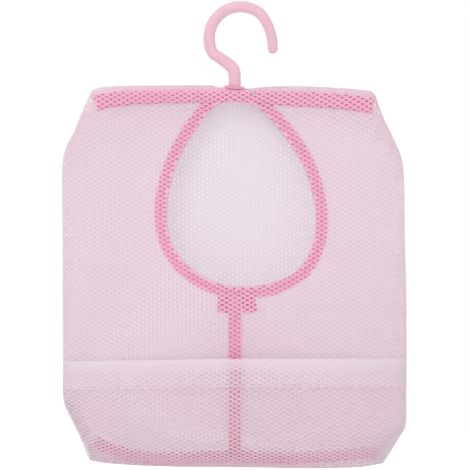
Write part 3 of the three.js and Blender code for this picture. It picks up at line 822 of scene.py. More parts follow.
def along_curve(flat, curve, widen=None):
    """Places in the front view for (share along, across) beside a curve"""
    steps = run_along(curve)
    share = np.clip(flat[:, 0], 0, 1)
    way = heading(curve, steps)
    x, z, wx, wz = (np.interp(share * steps[-1], steps, line)
                    for line in (curve[:, 0], curve[:, 1], way[:, 0], way[:, 1]))
    past = (flat[:, 0] - share) * steps[-1]
    across = flat[:, 1] * (widen(flat[:, 0]) if widen else 1)
    return np.column_stack([x - wz * across + wx * past, z + wx * across + wz * past])


def tape_on_front(name, curve, half, layer, widen=None, spacing=3 * MM, tucked=0.0):
    """A tape along a line in the front view, its top tucked in behind the sleeve's"""
    length = run_along(curve)[-1]
    piece = strip(name, length, 2 * half, bpy.context.scene.mesh_bag_sewn.tape,
                  max(4, int(length / spacing)))
    flat = points_of(piece)
    seen = along_curve(flat, curve, widen)
    behind = tucked * smooth((seen[:, 1] - band_level(seen[:, 0]) + (BAND_HALF + 5) * MM) / (4 * MM))
    move_points(piece, on_cloth(np.column_stack([seen, flat[:, 2] - behind]), layer))
    return piece


def one_stitch(name, *size):
    """A rounded stitch that lies along x"""
    start()
    bpy.ops.mesh.primitive_uv_sphere_add(segments=8, ring_count=6, radius=0.5)
    piece = added(name)
    edit()
    bpy.ops.transform.rotate(value=math.pi / 2, orient_axis="Y", center_override=(0, 0, 0))
    resize(*size)
    done()
    return piece


# The share of its spacing that a stitch fills
STITCH_SHARE = 0.74


def stitches(name, curve, layer, lay=on_cloth):
    """A row of sewing: one stitch, repeated along a line"""
    sewn = bpy.context.scene.mesh_bag_sewn
    length = run_along(curve)[-1]
    piece = one_stitch(name, STITCH_SHARE * sewn.stitch, sewn.thread, sewn.thread)
    repeat(max(2, int(length / sewn.stitch)), (sewn.stitch, 0, 0))
    flat = points_of(piece)
    flat[:, 0] = (flat[:, 0] + sewn.stitch / 2) / length
    move_points(piece, lay(np.column_stack([along_curve(flat, curve), flat[:, 2]]), layer))
    return piece


def on_back(flat, layer=0.0):
    """Lays places in the front view on the flat back, its edge drawn in to the side folds"""
    x, z = flat[:, 0], flat[:, 1]
    gap = np.minimum(half_width(x >= 0, z) - np.abs(x), z - bottom_level(x))
    draw = (1 - smooth(gap / (3 * MM))) * (BACK - FOLD)
    wave = 0.25 * MM * np.sin(x / (27 * MM) + 0.5) * np.sin(z / (43 * MM)) * smooth(gap / (20 * MM))
    return np.column_stack([x + MIDDLE, BACK - draw - wave + flat[:, 2] + layer, z])


# Materials
class Value:
    """An output of a material's node, which Python's own signs add, subtract and multiply"""

    def __init__(self, finish, socket):
        self.finish, self.socket = finish, socket

    def maths(self, operation, *values):
        return self.finish.node("ShaderNodeMath", {"operation": operation}, dict(enumerate(values)))

    def __add__(self, other):
        return self.maths("ADD", self, other)

    def __sub__(self, other):
        return self.maths("SUBTRACT", self, other)

    def __rsub__(self, other):
        return self.maths("SUBTRACT", other, self)

    def __mul__(self, other):
        return self.maths("MULTIPLY", self, other)

    def at_least(self, other):
        return self.maths("MAXIMUM", self, other)

    def at_most(self, other):
        return self.maths("MINIMUM", self, other)

    __radd__ = __add__
    __rmul__ = __mul__


class Finish:
    """A material or a world, built one node at a time"""

    def __init__(self, name, data=None):
        self.data = data or bpy.data.materials.new(name)
        self.data.use_nodes = True
        self.tree = self.data.node_tree
        self.tree.nodes.clear()

    def node(self, kind, settings=None, inputs=None, output=0):
        """Adds a node, sets it, fills or links its sockets, and gives one of its outputs"""
        node = self.tree.nodes.new(kind)
        for key, value in (settings or {}).items():
            setattr(node, key, value)
        for key, value in (inputs or {}).items():
            if isinstance(value, Value):
                self.tree.links.new(value.socket, node.inputs[key])
            else:
                node.inputs[key].default_value = value
        return Value(self, node.outputs[output]) if node.outputs else None

    def place(self, scale=(1, 1, 1), turn=(0, 0, 0)):
        """Object coordinates, scaled and turned"""
        return self.node("ShaderNodeMapping", None, {
            "Vector": self.node("ShaderNodeTexCoord", output="Object"), "Scale": scale, "Rotation": turn})

    def noise(self, scale, detail=2.0, stretch=(1, 1, 1)):
        return self.node("ShaderNodeTexNoise", None, {
            "Vector": self.place(stretch), "Scale": scale, "Detail": detail})

    def bands(self, scale, turn, distortion=1.0):
        return self.node("ShaderNodeTexWave", None, {
            "Vector": self.place(turn=turn), "Scale": scale, "Distortion": distortion,
            "Detail": 1.0}, "Fac")

    def marked(self, name):
        """How strongly a point of the mesh is marked"""
        return self.node("ShaderNodeAttribute", {"attribute_name": name}, output="Fac")

    def low_down(self, level, steepness):
        """From 0 above a level to 1 well below it"""
        place = self.node("ShaderNodeTexCoord", output="Object")
        height = self.node("ShaderNodeSeparateXYZ", None, {0: place}, 2)
        return ((height * -1 - level) * steepness).at_most(1.0).at_least(0.0)

    def mix(self, factor, first, second, blend="MIX"):
        """A colour between two colours"""
        return self.node("ShaderNodeMix", {"data_type": "RGBA", "blend_type": blend},
                         {0: factor, 6: first, 7: second}, 2)

    def bump(self, height, distance, strength=1.0):
        return self.node("ShaderNodeBump", None, {
            "Height": height, "Distance": distance, "Strength": strength})

    def surface(self, **inputs):
        """The main shader, whose sockets are named with _ for a space"""
        return self.node("ShaderNodeBsdfPrincipled", None, {
            key.replace("_", " "): value for key, value in inputs.items()})

    def glowing(self, cloth, colour, passed):
        """Cloth that passes some of the light from behind it"""
        through = self.node("ShaderNodeBsdfTranslucent", None, {"Color": opaque(colour)})
        return self.node("ShaderNodeMixShader", None, {0: passed, 1: cloth, 2: through})

    def end(self, shader, output="ShaderNodeOutputMaterial"):
        self.node(output, None, {"Surface": shader})
        return self.data


def opaque(colour, share=1.0):
    return (*(min(c * share, 1.0) for c in colour), 1.0)


# Levels below the hook's crown from which the net grows darker and the tapes paler, and how steeply
NET_DARKENS = 190 * MM, 16
TAPE_PALES = 296 * MM, 250


def net_finish(name, colour, on_tape, clear=0.55, held=0.85):
    """Knitted net: fine strands with a soft sheen, which take a second colour where they are marked as
    taped (a painted glow of the tape behind on the front nets, and on the back net the unshaded outer side
    beside the painted shade of its inner side), grow pale where they are marked so, which is painted light,
    and pass light, less of it where they are taped"""
    finish = Finish(name)
    tapes, pale = finish.marked("taped"), finish.marked("pale")
    fibre = finish.noise(2600, 2.0, (1, 1, 1.6))
    patch = finish.noise(24, 3.0)
    # Painted light: the paler tone that the pale mark gives
    paler = [0.45 * c + 0.55 * max(colour) for c in colour]
    base = finish.mix(tapes, finish.mix(pale, opaque(colour), opaque(paler)), opaque(on_tape))
    varied = finish.mix(fibre * 0.8 + patch * 0.8 - 0.3 - finish.low_down(*NET_DARKENS) * 0.35,
                        opaque((0.95, 0.94, 0.95)), opaque((1, 1, 1)))
    knit = finish.bands(1500, (0, 0.9, 0)) * 0.5 + finish.bands(1500, (0, -0.9, 0)) * 0.5 + fibre * 0.5
    cloth = finish.surface(
        Base_Color=finish.mix(1.0, base, varied, "MULTIPLY"), Roughness=0.58, Sheen_Weight=0.12,
        Sheen_Roughness=0.4, Specular_IOR_Level=0.3, Normal=finish.bump(knit, 0.06 * MM, 0.6))
    return finish.end(finish.glowing(cloth, colour, clear * (1 - held * tapes)))


def tape_finish(name, colour, washed):
    """Woven tape, with its weave at 0.4 mm, which passes a little light, paler behind the pocket"""
    finish = Finish(name)
    low = finish.low_down(*TAPE_PALES)
    weave = finish.bands(1250, (0, 0.785, 0), 0.4) * 0.5 + finish.bands(1250, (0, -0.785, 0), 0.4) * 0.5
    patch = finish.noise(60, 3.0)
    dark, light = (finish.mix(low, opaque(colour, k), opaque(washed, k)) for k in (0.86, 1.12))
    cloth = finish.surface(
        Base_Color=finish.mix(weave * 0.6 + patch * 0.4, dark, light), Roughness=0.75,
        Sheen_Weight=0.2, Normal=finish.bump(weave, 0.1 * MM, 0.8))
    return finish.end(finish.glowing(cloth, colour, 0.3))


def thread_finish(name, colour):
    """Twisted sewing thread"""
    finish = Finish(name)
    twist = finish.bands(2200, (0.4, 0.7, 0.2), 0.6)
    return finish.end(finish.surface(
        Base_Color=finish.mix(twist * 0.7, opaque(colour), opaque(colour, 0.82)), Roughness=0.5,
        Sheen_Weight=0.2, Normal=finish.bump(twist, 0.08 * MM, 0.8)))


def plastic_finish(name, colour):
    """Moulded plastic, a little milky, with faint flow marks"""
    finish = Finish(name)
    flow = finish.noise(90, 3.0, (1, 1, 0.4))
    return finish.end(finish.surface(
        Base_Color=finish.mix(flow, opaque(colour, 0.97), opaque(colour, 1.03)),
        Roughness=finish.noise(300, 2.0) * 0.16 + 0.3, Coat_Weight=0.12, Coat_Roughness=0.25,
        Subsurface_Weight=0.25, Subsurface_Radius=(2.4, 1.0, 1.2), Subsurface_Scale=1.0 * MM,
        IOR=1.5, Normal=finish.bump(finish.noise(1500, 2.0), 0.02 * MM, 0.3)))


# The nets' tones, as shares of the pale net's colour, and how the back net passes light. The corner, pocket
# and hem
# nets are lighter copies of the same net: painted light, strongest on the hem that stands out at the
# pocket's mouth
NET_TONES = {"pale_net": (1, 1, 1), "corner_net": (1.03, 1.05, 1.04),
             "pocket_net": (1.012, 1.032, 1.02), "hem_net": (1.035, 1.085, 1.06)}
BEHIND_CLEAR, BEHIND_HELD = 0.68, 0.25


def material(name):
    """A material by its name, made the first time that it is asked for"""
    if name in bpy.data.materials:
        return bpy.data.materials[name]
    colours = bpy.context.scene.mesh_bag_colours
    if name in NET_TONES:
        return net_finish(name, [c * t for c, t in zip(colours.net, NET_TONES[name])], colours.net_tape_glow)
    finish, *values = {
        "net_behind": (net_finish, colours.net_behind, colours.net, BEHIND_CLEAR, BEHIND_HELD),
        "pink_tape": (tape_finish, colours.tape, colours.tape_low),
        "bright_tape": (tape_finish, colours.lip, colours.lip),
        "pink_thread": (thread_finish, [0.8 * c for c in colours.net_tape_glow]),
        "pale_thread": (thread_finish, colours.thread),
        "bright_thread": (thread_finish, colours.bar_tack),
        "moulded_plastic": (plastic_finish, colours.plastic),
    }[name]
    return finish(name, *values)


# Hook: centreline and thickness, as the model has them
HOOK_BEND = 26.7
HOOK_STOCK, SHANK_STOCK, TIP_STOCK = 9.8, 10.4, 8.4
HOOK_MIDDLE = -21.8
SHANK_OFFSET = 4.9
NECK_SHARES = [(-0.225, -1.0), (-0.431, -0.794), (-0.667, -0.629)]
ARM_SHARES = [(0.745, 0.625), (0.858, 0.423), (0.94, 0.21), (1.0, -0.022), (1.03, -0.352)]
BEND_TURNS = np.radians(np.linspace(-118, 36, 8))
HEAD_FOOT, HEAD_TOP, SHANK_FOOT = -74.5, -71.1, -64.5
HEAD_HALF, NECK_HALF = 3.4, 2.4
# Where the stock thins, above the shank and towards the tip: start and run, as shares of the length
SHANK_THINS, ARM_THINS = (0.15, 0.12), (0.64, 0.36)


def hook_line():
    """The hook's centreline from the foot of its snap head to the end of its tip"""
    bend = [(math.sin(t), math.cos(t)) for t in BEND_TURNS]
    arc = np.array([*NECK_SHARES, *bend, *ARM_SHARES]) * HOOK_BEND + [0, HOOK_MIDDLE]
    shank = [(-SHANK_OFFSET, level) for level in (HEAD_FOOT, -70.0, SHANK_FOOT, -57.4)]
    line = curve_through(np.vstack([shank, arc]), 14) * MM
    tip = line[-1] + (line[-1] - line[-2]) / np.linalg.norm(line[-1] - line[-2]) * TIP_STOCK / 2 * MM
    return evenly(np.vstack([line, tip]), 1.0 * MM)


def hook_radius(along, level, on_shank, length):
    """Half thickness of the hook along its line"""
    share = along / length
    above_shank, to_arm = (smooth((share - start) / run) for start, run in (SHANK_THINS, ARM_THINS))
    stock = SHANK_STOCK + (HOOK_STOCK - SHANK_STOCK) * above_shank + (TIP_STOCK - HOOK_STOCK) * to_arm
    radius = stock / 2 * MM
    stem = np.where(level < HEAD_TOP * MM, HEAD_HALF, NECK_HALF) * MM
    taper = smooth((level - (SHANK_FOOT - 0.1) * MM) / (0.6 * MM))
    radius = np.where(on_shank, stem + (radius - stem) * taper, radius)
    to_tip = np.clip((length - along) / (TIP_STOCK / 2 * MM), 0, 1)
    return radius * np.sqrt(to_tip * (2 - to_tip))


# The hook's section: its sides, how square and how flat it is, and the ridge where the mould parted
HOOK_SIDES = 32
HOOK_POWER = 2.35
HOOK_FLATNESS = 0.96
PARTING_LINE = 0.09 * MM


class MESH_BAG_OT_hook(bpy.types.Operator):
    """Moulds the hook: a tapered bar bent over, with a parting line and a rounded tip"""

    bl_idname = "mesh_bag.hook"
    bl_label = "Hook"

    def execute(self, context):
        line = hook_line()
        start()
        bpy.ops.mesh.primitive_circle_add(vertices=HOOK_SIDES, radius=1, fill_type="NGON")
        piece = added("hook_moulding")
        edit()
        for _ in line[1:]:
            bpy.ops.mesh.extrude_region_move(TRANSFORM_OT_translate={"value": (0, 0, 1)})
        done()
        flat = points_of(piece)
        side, out, ring = flat[:, 0], flat[:, 1], np.rint(flat[:, 2]).astype(int)
        along = run_along(line)
        way = heading(line, along)
        on_shank = (line[:, 1] < -60 * MM) & (line[:, 0] < 5 * MM)
        radius = np.maximum(hook_radius(along, line[:, 1], on_shank, along[-1]), 0.15 * MM)
        size = (np.abs(side) ** HOOK_POWER + np.abs(out) ** HOOK_POWER) ** (-1 / HOOK_POWER)
        ridge = PARTING_LINE * (np.abs(out) < 0.05) * (radius[ring] > 4 * MM)
        reach = radius[ring] * size + ridge
        x = line[ring, 0] + way[ring, 1] * side * reach
        z = line[ring, 1] - way[ring, 0] * side * reach
        move_points(piece, np.column_stack([x, -out * reach * HOOK_FLATNESS, z]))
        dress(piece, "hook", material("moulded_plastic"), "plastic", "hook")
        return {"FINISHED"}


class MESH_BAG_OT_hanger(bpy.types.Operator):
    """Finishes the hanger bar inside the sleeve"""

    bl_idname = "mesh_bag.hanger"
    bl_label = "Hanger bar"

    def execute(self, context):
        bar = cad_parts["hanger_bar"]
        bar.data.materials.clear()
        bar.data.materials.append(material("moulded_plastic"))
        return {"FINISHED"}


# The slit in the sleeve's top, and how far below the bag's top its edges lie, behind and in front
SLIT_HALF, SLIT_POINT = 16.2 * MM, 1.5 * MM
SLIT_BEHIND, SLIT_FRONT = -11.5 * MM, -0.8 * MM
# Smaller holes over the top of the bag
OVER_TOP, OVER_TOP_HALF, OVER_TOP_SOFT = -21 * MM, 13 * MM, 5 * MM


class MESH_BAG_OT_sleeve(bpy.types.Operator):
    """Sews the sleeve of net over the hanger, with the pink tape inside its front"""

    bl_idname = "mesh_bag.sleeve"
    bl_label = "Sleeve and its tape"

    def execute(self, context):
        x = np.linspace(-130, 130, 80) * MM
        crest = top_level(x) - TOP_ROUNDING
        arch = over_run((BACK - wrap(x, np.zeros(len(x)))[:, 1]) / 2)
        back_end = flatten(np.column_stack([x, np.full(len(x), float(PANEL_TOP))]))
        back_end[:, 1] = PANEL_TOP - (crest + arch + (crest - sleeve_foot_level(x)))
        outline = cloth_outline(V_FIRST + 5 * MM, 20 * MM)
        low, high = (PANEL_TOP - (float(top_level(0.0)) - edge) for edge in (SLIT_BEHIND, SLIT_FRONT))
        end, middle = SLIT_HALF + SLIT_POINT, (low + high) / 2
        slit = np.array([[-SLIT_HALF, low], [SLIT_HALF, low], [end, middle],
                         [SLIT_HALF, high], [-SLIT_HALF, high], [-end, middle]])
        cut = Cut([outline, beyond(back_end, FAR)], [slit, opening_edge], [beyond(sleeve_foot, -FAR)])
        net, area = net_piece("sleeve_net", cut, drift=hung_rows, size=self.over_top)
        move_points(net, on_front(mark_net(net, TAPED), REAR))
        dress(net, "bag", material("pale_net"), "net", "top_sleeve")

        tape = tape_on_front("sleeve_tape_strip", band_curve, BAND_HALF * MM, TAPE_LAYER)
        dress(tape, "bag", material("pink_tape"), "tape", "sleeve_tape")
        return {"FINISHED"}

    @staticmethod
    def over_top(holes):
        return 1 - 0.65 * smooth((OVER_TOP_HALF - np.abs(holes[:, 1] - OVER_TOP)) / OVER_TOP_SOFT)


# The lip of tape at the slit: its middle in the front view, in millimetres, its half width and its layer
LIP = [(-9.5, -64.0), (-5.0, -63.9), (0.0, -64.0), (4.5, -64.3), (8.5, -64.9)]
LIP_HALF, LIP_LAYER = 1.7 * MM, 1.75 * MM


class MESH_BAG_OT_slit_facing(bpy.types.Operator):
    """Turns the tape out over the front edge of the slit, as a smooth lip round the shank"""

    bl_idname = "mesh_bag.slit_facing"
    bl_label = "Slit facing"

    def execute(self, context):
        lip = tape_on_front("slit_facing", evenly(curve_through(LIP) * MM, 0.8 * MM), LIP_HALF, LIP_LAYER,
                            lambda share: 0.1 + 0.9 * smooth((0.42 - np.abs(share - 0.5)) / 0.16))
        # The lip's material is a lighter copy of the pink tape: painted light
        dress(lip, "bag", material("bright_tape"), "tape")
        return {"FINISHED"}


class MESH_BAG_OT_front_panels(bpy.types.Operator):
    """Cuts and hangs the two front panels of net, round the opening"""

    bl_idname = "mesh_bag.front_panels"
    bl_label = "Front panels"

    def execute(self, context):
        for side, half in (("left", left_half), ("right", right_half)):
            cut = Cut([front_outline], [opening_edge], [beyond(sleeve_foot, FAR), half])
            net, area = net_piece(f"front_{side}_net", cut, drift=hung_rows)
            move_points(net, on_front(mark_net(net, TAPED), REAR))
            dress(net, "bag", material("pale_net"), "net", f"front_{side}_panel")
        return {"FINISHED"}


# The back net's holes, as shares of the front's: in its middle, and how much smaller beside its edge
BACK_HOLES, BACK_SHRINK, SHRINK_REACH, SHRINK_FADE = 0.42, 0.16, 34 * MM, 20 * MM
# The shade that the back net lies in: its middle, its half width and half height, in millimetres. Away from
# this middle the net is painted paler, painted light against the shade near the binding and the sleeve
SHADE_MIDDLE, SHADE_HALVES = (10, -172), (66, 80)


class MESH_BAG_OT_back_panel(bpy.types.Operator):
    """Hangs the flat back of the bag"""

    bl_idname = "mesh_bag.back_panel"
    bl_label = "Back panel"

    def execute(self, context):
        x = np.linspace(-123, 121, 60) * MM
        top = np.column_stack([x, sleeve_foot_level(x)])
        right = right_curve[right_curve[:, 1] < top[-1, 1]][::-1]
        left = left_curve[left_curve[:, 1] < top[0, 1]]
        low = bottom_curve[(bottom_curve[:, 0] > left[0, 0]) & (bottom_curve[:, 0] < right[-1, 0])][::-1]
        cut = Cut([evenly(np.vstack([top, right, low, left]), 2.5 * MM)])
        net, area = net_piece(
            "back_net", cut, tilt=0.012, shift=(2.1 * MM, 1.3 * MM),
            size=lambda holes: BACK_HOLES - BACK_SHRINK * smooth(
                (SHRINK_REACH - cut.distance(holes)) / SHRINK_FADE))
        flat = points_of(net)
        off = (flat[:, :2] / MM - SHADE_MIDDLE) / SHADE_HALVES
        # Painted light: the net is painted paler away from the middle of the shade
        mark(net, "pale", 1.2 * smooth((np.hypot(off[:, 0], off[:, 1]) - 0.35) / 0.55))
        # The outer side takes the front's tone, which stands in place of the tapes' in its material. The
        # inner side keeps the darker colour of the net behind, which is painted shade of the bag's inside
        mark(net, "taped", flat[:, 2] > 0)
        move_points(net, on_back(flat))
        dress(net, "bag", material("net_behind"), "net", "back_panel")
        return {"FINISHED"}


class MESH_BAG_OT_bindings(bpy.types.Operator):
    """Binds the opening with two strips of tape, their ends turned down over the centre seam"""

    bl_idname = "mesh_bag.bindings"
    bl_label = "Opening bindings"

    def execute(self, context):
        for side, curve, tail, narrowing in (("left", left_ring, TAIL_LEFT, 0.2),
                                             ("right", right_ring, TAIL_RIGHT, 0.1)):
            ring = tape_on_front(f"binding_{side}", curve, (BINDING_HALF + 0.25) * MM, TAPE_LAYER,
                                 tucked=1.0 * MM)
            flap = tape_on_front(f"tail_{side}", evenly(tail, 2 * MM), TAIL_HALF * MM, TAPE_LAYER - 1.0 * MM,
                                 lambda share: 1 - narrowing * share, 2 * MM)
            start()
            flap.select_set(True)
            ring.select_set(True)
            bpy.context.view_layer.objects.active = ring
            bpy.ops.object.join()
            dress(ring, "bag", material("pink_tape"), "tape", f"opening_binding_{side}")
        return {"FINISHED"}


class MESH_BAG_OT_seam_tapes(bpy.types.Operator):
    """Lays the tapes of the centre seam and of the bottom seam"""

    bl_idname = "mesh_bag.seam_tapes"
    bl_label = "Seam tapes"

    def execute(self, context):
        centre = tape_on_front("centre_tape_strip", centre_curve, CENTRE_HALF * MM, TAPE_LAYER)
        dress(centre, "bag", material("pink_tape"), "tape", "centre_tape")
        bottom = strip("bottom_tape_strip", run_along(bottom_line)[-1], 2 * BOTTOM_HALF * MM,
                       context.scene.mesh_bag_sewn.tape, 80)
        flat = points_of(bottom)
        seen = np.column_stack([along_curve(flat, bottom_line), flat[:, 2]])
        move_points(bottom, on_back(seen, BOTTOM_TAPE_LAYER))
        dress(bottom, "bag", material("pink_tape"), "tape", "bottom_tape")
        return {"FINISHED"}


# The net turned in at each cut corner: along its edge, and back inside, in millimetres
CORNERS = {
    "top_left": [(-121.5, -67), (-145.6, -119), (-139, -127), (-112, -70)],
    "top_right": [(119.6, -70), (142.4, -125), (135, -131), (109, -73)],
    "bottom_left": [(-145.4, -332), (-124, -380), (-113, -381), (-136, -327)],
    "bottom_right": [(145.6, -354), (125.4, -383.4), (112, -383), (136, -350)],
}


class MESH_BAG_OT_corner_seams(bpy.types.Operator):
    """Turns the net in along the four cut corners"""

    bl_idname = "mesh_bag.corner_seams"
    bl_label = "Corner seams"

    def execute(self, context):
        for name, corner in CORNERS.items():
            points = np.array([*corner, corner[0]]) * MM
            net, area = net_piece(f"corner_net_{name}", Cut([flatten(evenly(points, 2.5 * MM)[:-1])]),
                                  tilt=0.5, shift=(1.7 * MM, 0.9 * MM))
            move_points(net, on_front(mark_net(net, []), CORNER_LAYER))
            dress(net, "bag", material("corner_net"), "net", f"corner_seam_{name}")
        return {"FINISHED"}


# The pocket: how far its mouth stands off, how that fades down the cloth, how far out its net lies, and
# where it is drawn in to the bottom seam
POCKET_STAND, POCKET_FADE = 7.2 * MM, 62 * MM
POCKET_LAYER = 0.9 * MM
POCKET_DRAWN = 9 * MM
# The hem's holes, as shares of the net's, and how strongly the painted glow of the tapes shows on it, as
# shares of
# what is painted on the pocket: each at the mouth, and how much more low on the hem
HEM_HOLES, HEM_HOLES_MORE = 0.5, 0.4
HEM_TAPE_GLOW, HEM_TAPE_GLOW_MORE = 0.36, 0.42


def pocket_lift(flat, mouth, layer):
    """How far the pocket stands off the front behind it: most at the middle of its mouth"""
    share = np.abs(flat[:, 0]) / cloth_length(flat[:, 0], flat[:, 1])
    stand = POCKET_STAND * np.maximum(1 - share * share, 0) ** 2
    stand = stand * (1 - smooth(below_line(flat, mouth) / POCKET_FADE))
    drawn = np.maximum(smooth((share - 0.84) / 0.16),
                       smooth((flat[:, 1] - FULL_RUN + POCKET_DRAWN) / POCKET_DRAWN))
    return stand + REAR + (layer - REAR) * (1 - drawn)


class MESH_BAG_OT_pocket(bpy.types.Operator):
    """Lays the pocket across the lower front, with its folded hem"""

    bl_idname = "mesh_bag.pocket"
    bl_label = "Pocket and hem"

    def execute(self, context):
        mouth = line_across(mouth_level)
        hem_foot = line_across(lambda x: mouth_level(x) - HEM_WIDTH * MM)
        outline = cloth_outline(150 * MM, FULL_RUN - 1.5 * MM)
        net, area = net_piece("pocket_net", Cut([outline, beyond(mouth, 2 * FAR)]), tilt=-0.008,
                              shift=(3.1 * MM, 0.6 * MM))
        # Painted glow of the tapes behind, and painted light beside the folds
        flat = mark_net(net, UNDER_POCKET, FOLD_PAINTED_LIGHT_POCKET)
        move_points(net, on_front(flat, pocket_lift(flat, mouth, POCKET_LAYER)))
        dress(net, "bag", material("pocket_net"), "net", "front_pocket")

        hem, area = net_piece("hem_net", Cut([outline, np.vstack([mouth, hem_foot[::-1]])]),
                              tilt=0.01, shift=(0.4 * MM, 2.4 * MM),
                              size=lambda holes: HEM_HOLES + HEM_HOLES_MORE * self.far_down(holes, mouth))
        flat = mark_net(hem, [])
        # Painted glow of the tapes behind the pocket, fainter on the hem
        shows = HEM_TAPE_GLOW + HEM_TAPE_GLOW_MORE * self.far_down(flat, mouth)
        mark(hem, "taped", taped(flat[:, :2], UNDER_POCKET) * shows)
        layer = POCKET_LAYER + 1.0 * MM * smooth(below_line(flat, mouth) / (3 * MM))
        move_points(hem, on_front(flat, pocket_lift(flat, mouth, layer)))
        dress(hem, "bag", material("hem_net"), "net", "pocket_hem")
        return {"FINISHED"}

    @staticmethod
    def far_down(flat, mouth):
        """From 0 at the pocket's mouth to 1 low on the hem, where it lets more show through"""
        return smooth((np.abs(below_line(flat, mouth)) - 7 * MM) / (5 * MM))


# Points of the binding's line, 3 mm apart, that are left unsewn under the sleeve
RING_UNSEWN = 7


class MESH_BAG_OT_sewing(bpy.types.Operator):
    """Sews the sleeve, the opening, the seams and the hem"""

    bl_idname = "mesh_bag.sewing"
    bl_label = "Sewing"

    def execute(self, context):
        seam = evenly(np.array([[CENTRE_LINE, RING_FOOT - 18], [CENTRE_LINE, -340]]) * MM, 4 * MM)
        x = np.linspace(-128, 128, 80) * MM
        hem = np.column_stack([x, mouth_level(x) - (HEM_WIDTH - 1.6) * MM])
        rows = {
            "sleeve_stitch": (band_curve - [0, (BAND_HALF - 0.8) * MM], STITCH_LAYER, on_cloth),
            "opening_stitch_left": (left_ring[RING_UNSEWN:-1], STITCH_LAYER, on_cloth),
            "opening_stitch_right": (right_ring[1:-RING_UNSEWN], STITCH_LAYER, on_cloth),
            "centre_stitch": (seam, STITCH_LAYER, on_cloth),
            "bottom_stitch": (bottom_line, BOTTOM_STITCH_LAYER, on_back),
            "hem_stitch": (hem, HEM_STITCH_LAYER, self.on_hem),
        }
        for node, (curve, layer, lay) in rows.items():
            row = stitches(node.replace("stitch", "stitches"), curve, layer, lay)
            thread = "pale_thread" if node == "hem_stitch" else "pink_thread"
            dress(row, "bag", material(thread), "thread", node)
        return {"FINISHED"}

    @staticmethod
    def on_hem(flat, layer):
        place = flatten(flat)
        lift = pocket_lift(place, line_across(mouth_level), layer)
        return on_front(np.column_stack([place, flat[:, 2]]), lift)


# The bar tack: its threads' size, how many, how far apart, where the first lies and how they slant
TACK_THREAD = (4.8 * MM, 0.65 * MM, 0.5 * MM)
TACK_COUNT, TACK_STEP = 4, 0.9 * MM
TACK_X, TACK_Z, TACK_LAYER = 15.0 * MM, -67.0 * MM, 0.45 * MM
TACK_SLANTS = (0.6, 0.95)


class MESH_BAG_OT_bar_tack(bpy.types.Operator):
    """Sews the pale bar tack at the right end of the slit"""

    bl_idname = "mesh_bag.bar_tack"
    bl_label = "Bar tack"

    def execute(self, context):
        piece = one_stitch("bar_tack_threads", *TACK_THREAD)
        repeat(TACK_COUNT, (0, TACK_STEP, 0))
        along, down, up = points_of(piece).T
        slant = np.where(np.rint(down / TACK_STEP) % 2, TACK_SLANTS[1], TACK_SLANTS[0])
        x = TACK_X + 0.8 * along + 0.35 * down
        move_points(piece, on_cloth(np.column_stack([x, TACK_Z - down + slant * along, up]), TACK_LAYER))
        # The bar tack's thread is a lighter copy of the pale thread: painted light
        dress(piece, "bag", material("bright_thread"), "thread", "slit_bar_tack")
        return {"FINISHED"}


# Stage: the photograph's frame is 470 pixels wide, at 0.85 mm a pixel on the hook's plane
FRAME_WIDTH = 399.5 * MM
FRAME_X, FRAME_Z = -4.675 * MM, -189.3 * MM
SENSOR = 36.0
FLOOR = -0.6
FLOOR_TONE, FLOOR_GLOW = (0.82, 0.82, 0.82), 0.55
# Lamps: where each stands round the bag and above it, and how soft its light is, in degrees
LAMPS = {"key": (-28, 34, 38), "fill": (38, 12, 60), "behind": (190, 25, 70)}


def seen_rays(finish):
    """One for a ray from the camera, a reflection or a clear piece, which show the background"""
    camera, glossy, clear = (finish.node("ShaderNodeLightPath", output=ray) for ray in (
        "Is Camera Ray", "Is Glossy Ray", "Is Transmission Ray"))
    return camera.at_least(glossy.at_least(clear))


def floor_finish(name):
    """Pale floor that comes out white, while it still takes the object's shadow"""
    finish = Finish(name)
    plain = finish.node("ShaderNodeBsdfDiffuse", None, {"Color": opaque(FLOOR_TONE)})
    light = finish.node("ShaderNodeEmission", None, {
        "Color": (1, 1, 1, 1), "Strength": seen_rays(finish) * FLOOR_GLOW})
    return finish.end(finish.node("ShaderNodeAddShader", None, {0: plain, 1: light}))


def sky(name, strength):
    """Even light all round, which the camera sees as plain white"""
    world = Finish(name, bpy.data.worlds.new(name))
    light = world.node("ShaderNodeBackground", None, {
        "Color": (1, 1, 1, 1), "Strength": seen_rays(world) * (1 - strength) + strength})
    return world.end(light, "ShaderNodeOutputWorld")


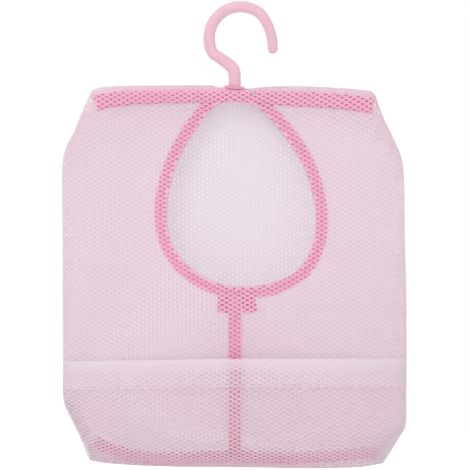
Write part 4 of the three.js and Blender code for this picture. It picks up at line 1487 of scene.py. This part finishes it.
class MESH_BAG_OT_stage(bpy.types.Operator):
    """Sets the pale floor, the soft lights and the camera"""

    bl_idname = "mesh_bag.stage"
    bl_label = "Stage"

    def execute(self, context):
        stage = context.scene.mesh_bag_stage
        start()
        bpy.ops.mesh.primitive_plane_add(size=8, location=(0, 0, FLOOR))
        floor = added("floor")
        floor.data.materials.append(floor_finish("floor_white"))

        for name, (azimuth, height, softness) in LAMPS.items():
            start()
            turn = (math.radians(90 - height), 0, math.radians(azimuth))
            bpy.ops.object.light_add(type="SUN", rotation=turn)
            lamp = bpy.context.object
            lamp.name = name
            lamp.data.energy, lamp.data.angle = getattr(stage, name), math.radians(softness)
        context.scene.world = sky("studio", stage.sky)

        distance = FRAME_WIDTH * stage.lens / SENSOR
        bpy.ops.object.camera_add(location=(FRAME_X, -distance, FRAME_Z), rotation=(math.pi / 2, 0, 0))
        camera = bpy.context.object
        camera.data.lens, camera.data.sensor_width = stage.lens, SENSOR
        camera.data.clip_end = 100
        context.scene.camera = camera
        context.scene.view_settings.view_transform = "Standard"
        return {"FINISHED"}


OPERATORS = (
    MESH_BAG_OT_stage, MESH_BAG_OT_hook, MESH_BAG_OT_hanger, MESH_BAG_OT_sleeve, MESH_BAG_OT_slit_facing,
    MESH_BAG_OT_front_panels, MESH_BAG_OT_back_panel, MESH_BAG_OT_bindings, MESH_BAG_OT_seam_tapes,
    MESH_BAG_OT_corner_seams, MESH_BAG_OT_pocket, MESH_BAG_OT_sewing, MESH_BAG_OT_bar_tack,
)


class MESH_BAG_PT_pieces(bpy.types.Panel):
    """Lists the bag's pieces"""

    bl_label = "Mesh bag"
    bl_idname = "MESH_BAG_PT_pieces"
    bl_space_type = "VIEW_3D"
    bl_region_type = "UI"
    bl_category = "Mesh bag"

    def draw(self, context):
        for settings in SETTINGS:
            group = getattr(context.scene, settings)
            for name in group.__annotations__:
                self.layout.prop(group, name)
        for operator in OPERATORS:
            self.layout.operator(operator.bl_idname)


def register():
    for name, group in SETTINGS.items():
        bpy.utils.register_class(group)
        setattr(bpy.types.Scene, name, PointerProperty(type=group))
    for operator in OPERATORS:
        bpy.utils.register_class(operator)
    bpy.utils.register_class(MESH_BAG_PT_pieces)


def unregister():
    bpy.utils.unregister_class(MESH_BAG_PT_pieces)
    for operator in reversed(OPERATORS):
        bpy.utils.unregister_class(operator)
    for name, group in SETTINGS.items():
        delattr(bpy.types.Scene, name)
        bpy.utils.unregister_class(group)


def main():
    register()
    for operator in OPERATORS:
        group, name = operator.bl_idname.split(".")
        getattr(getattr(bpy.ops, group), name)()


if __name__ == "__main__":
    main()
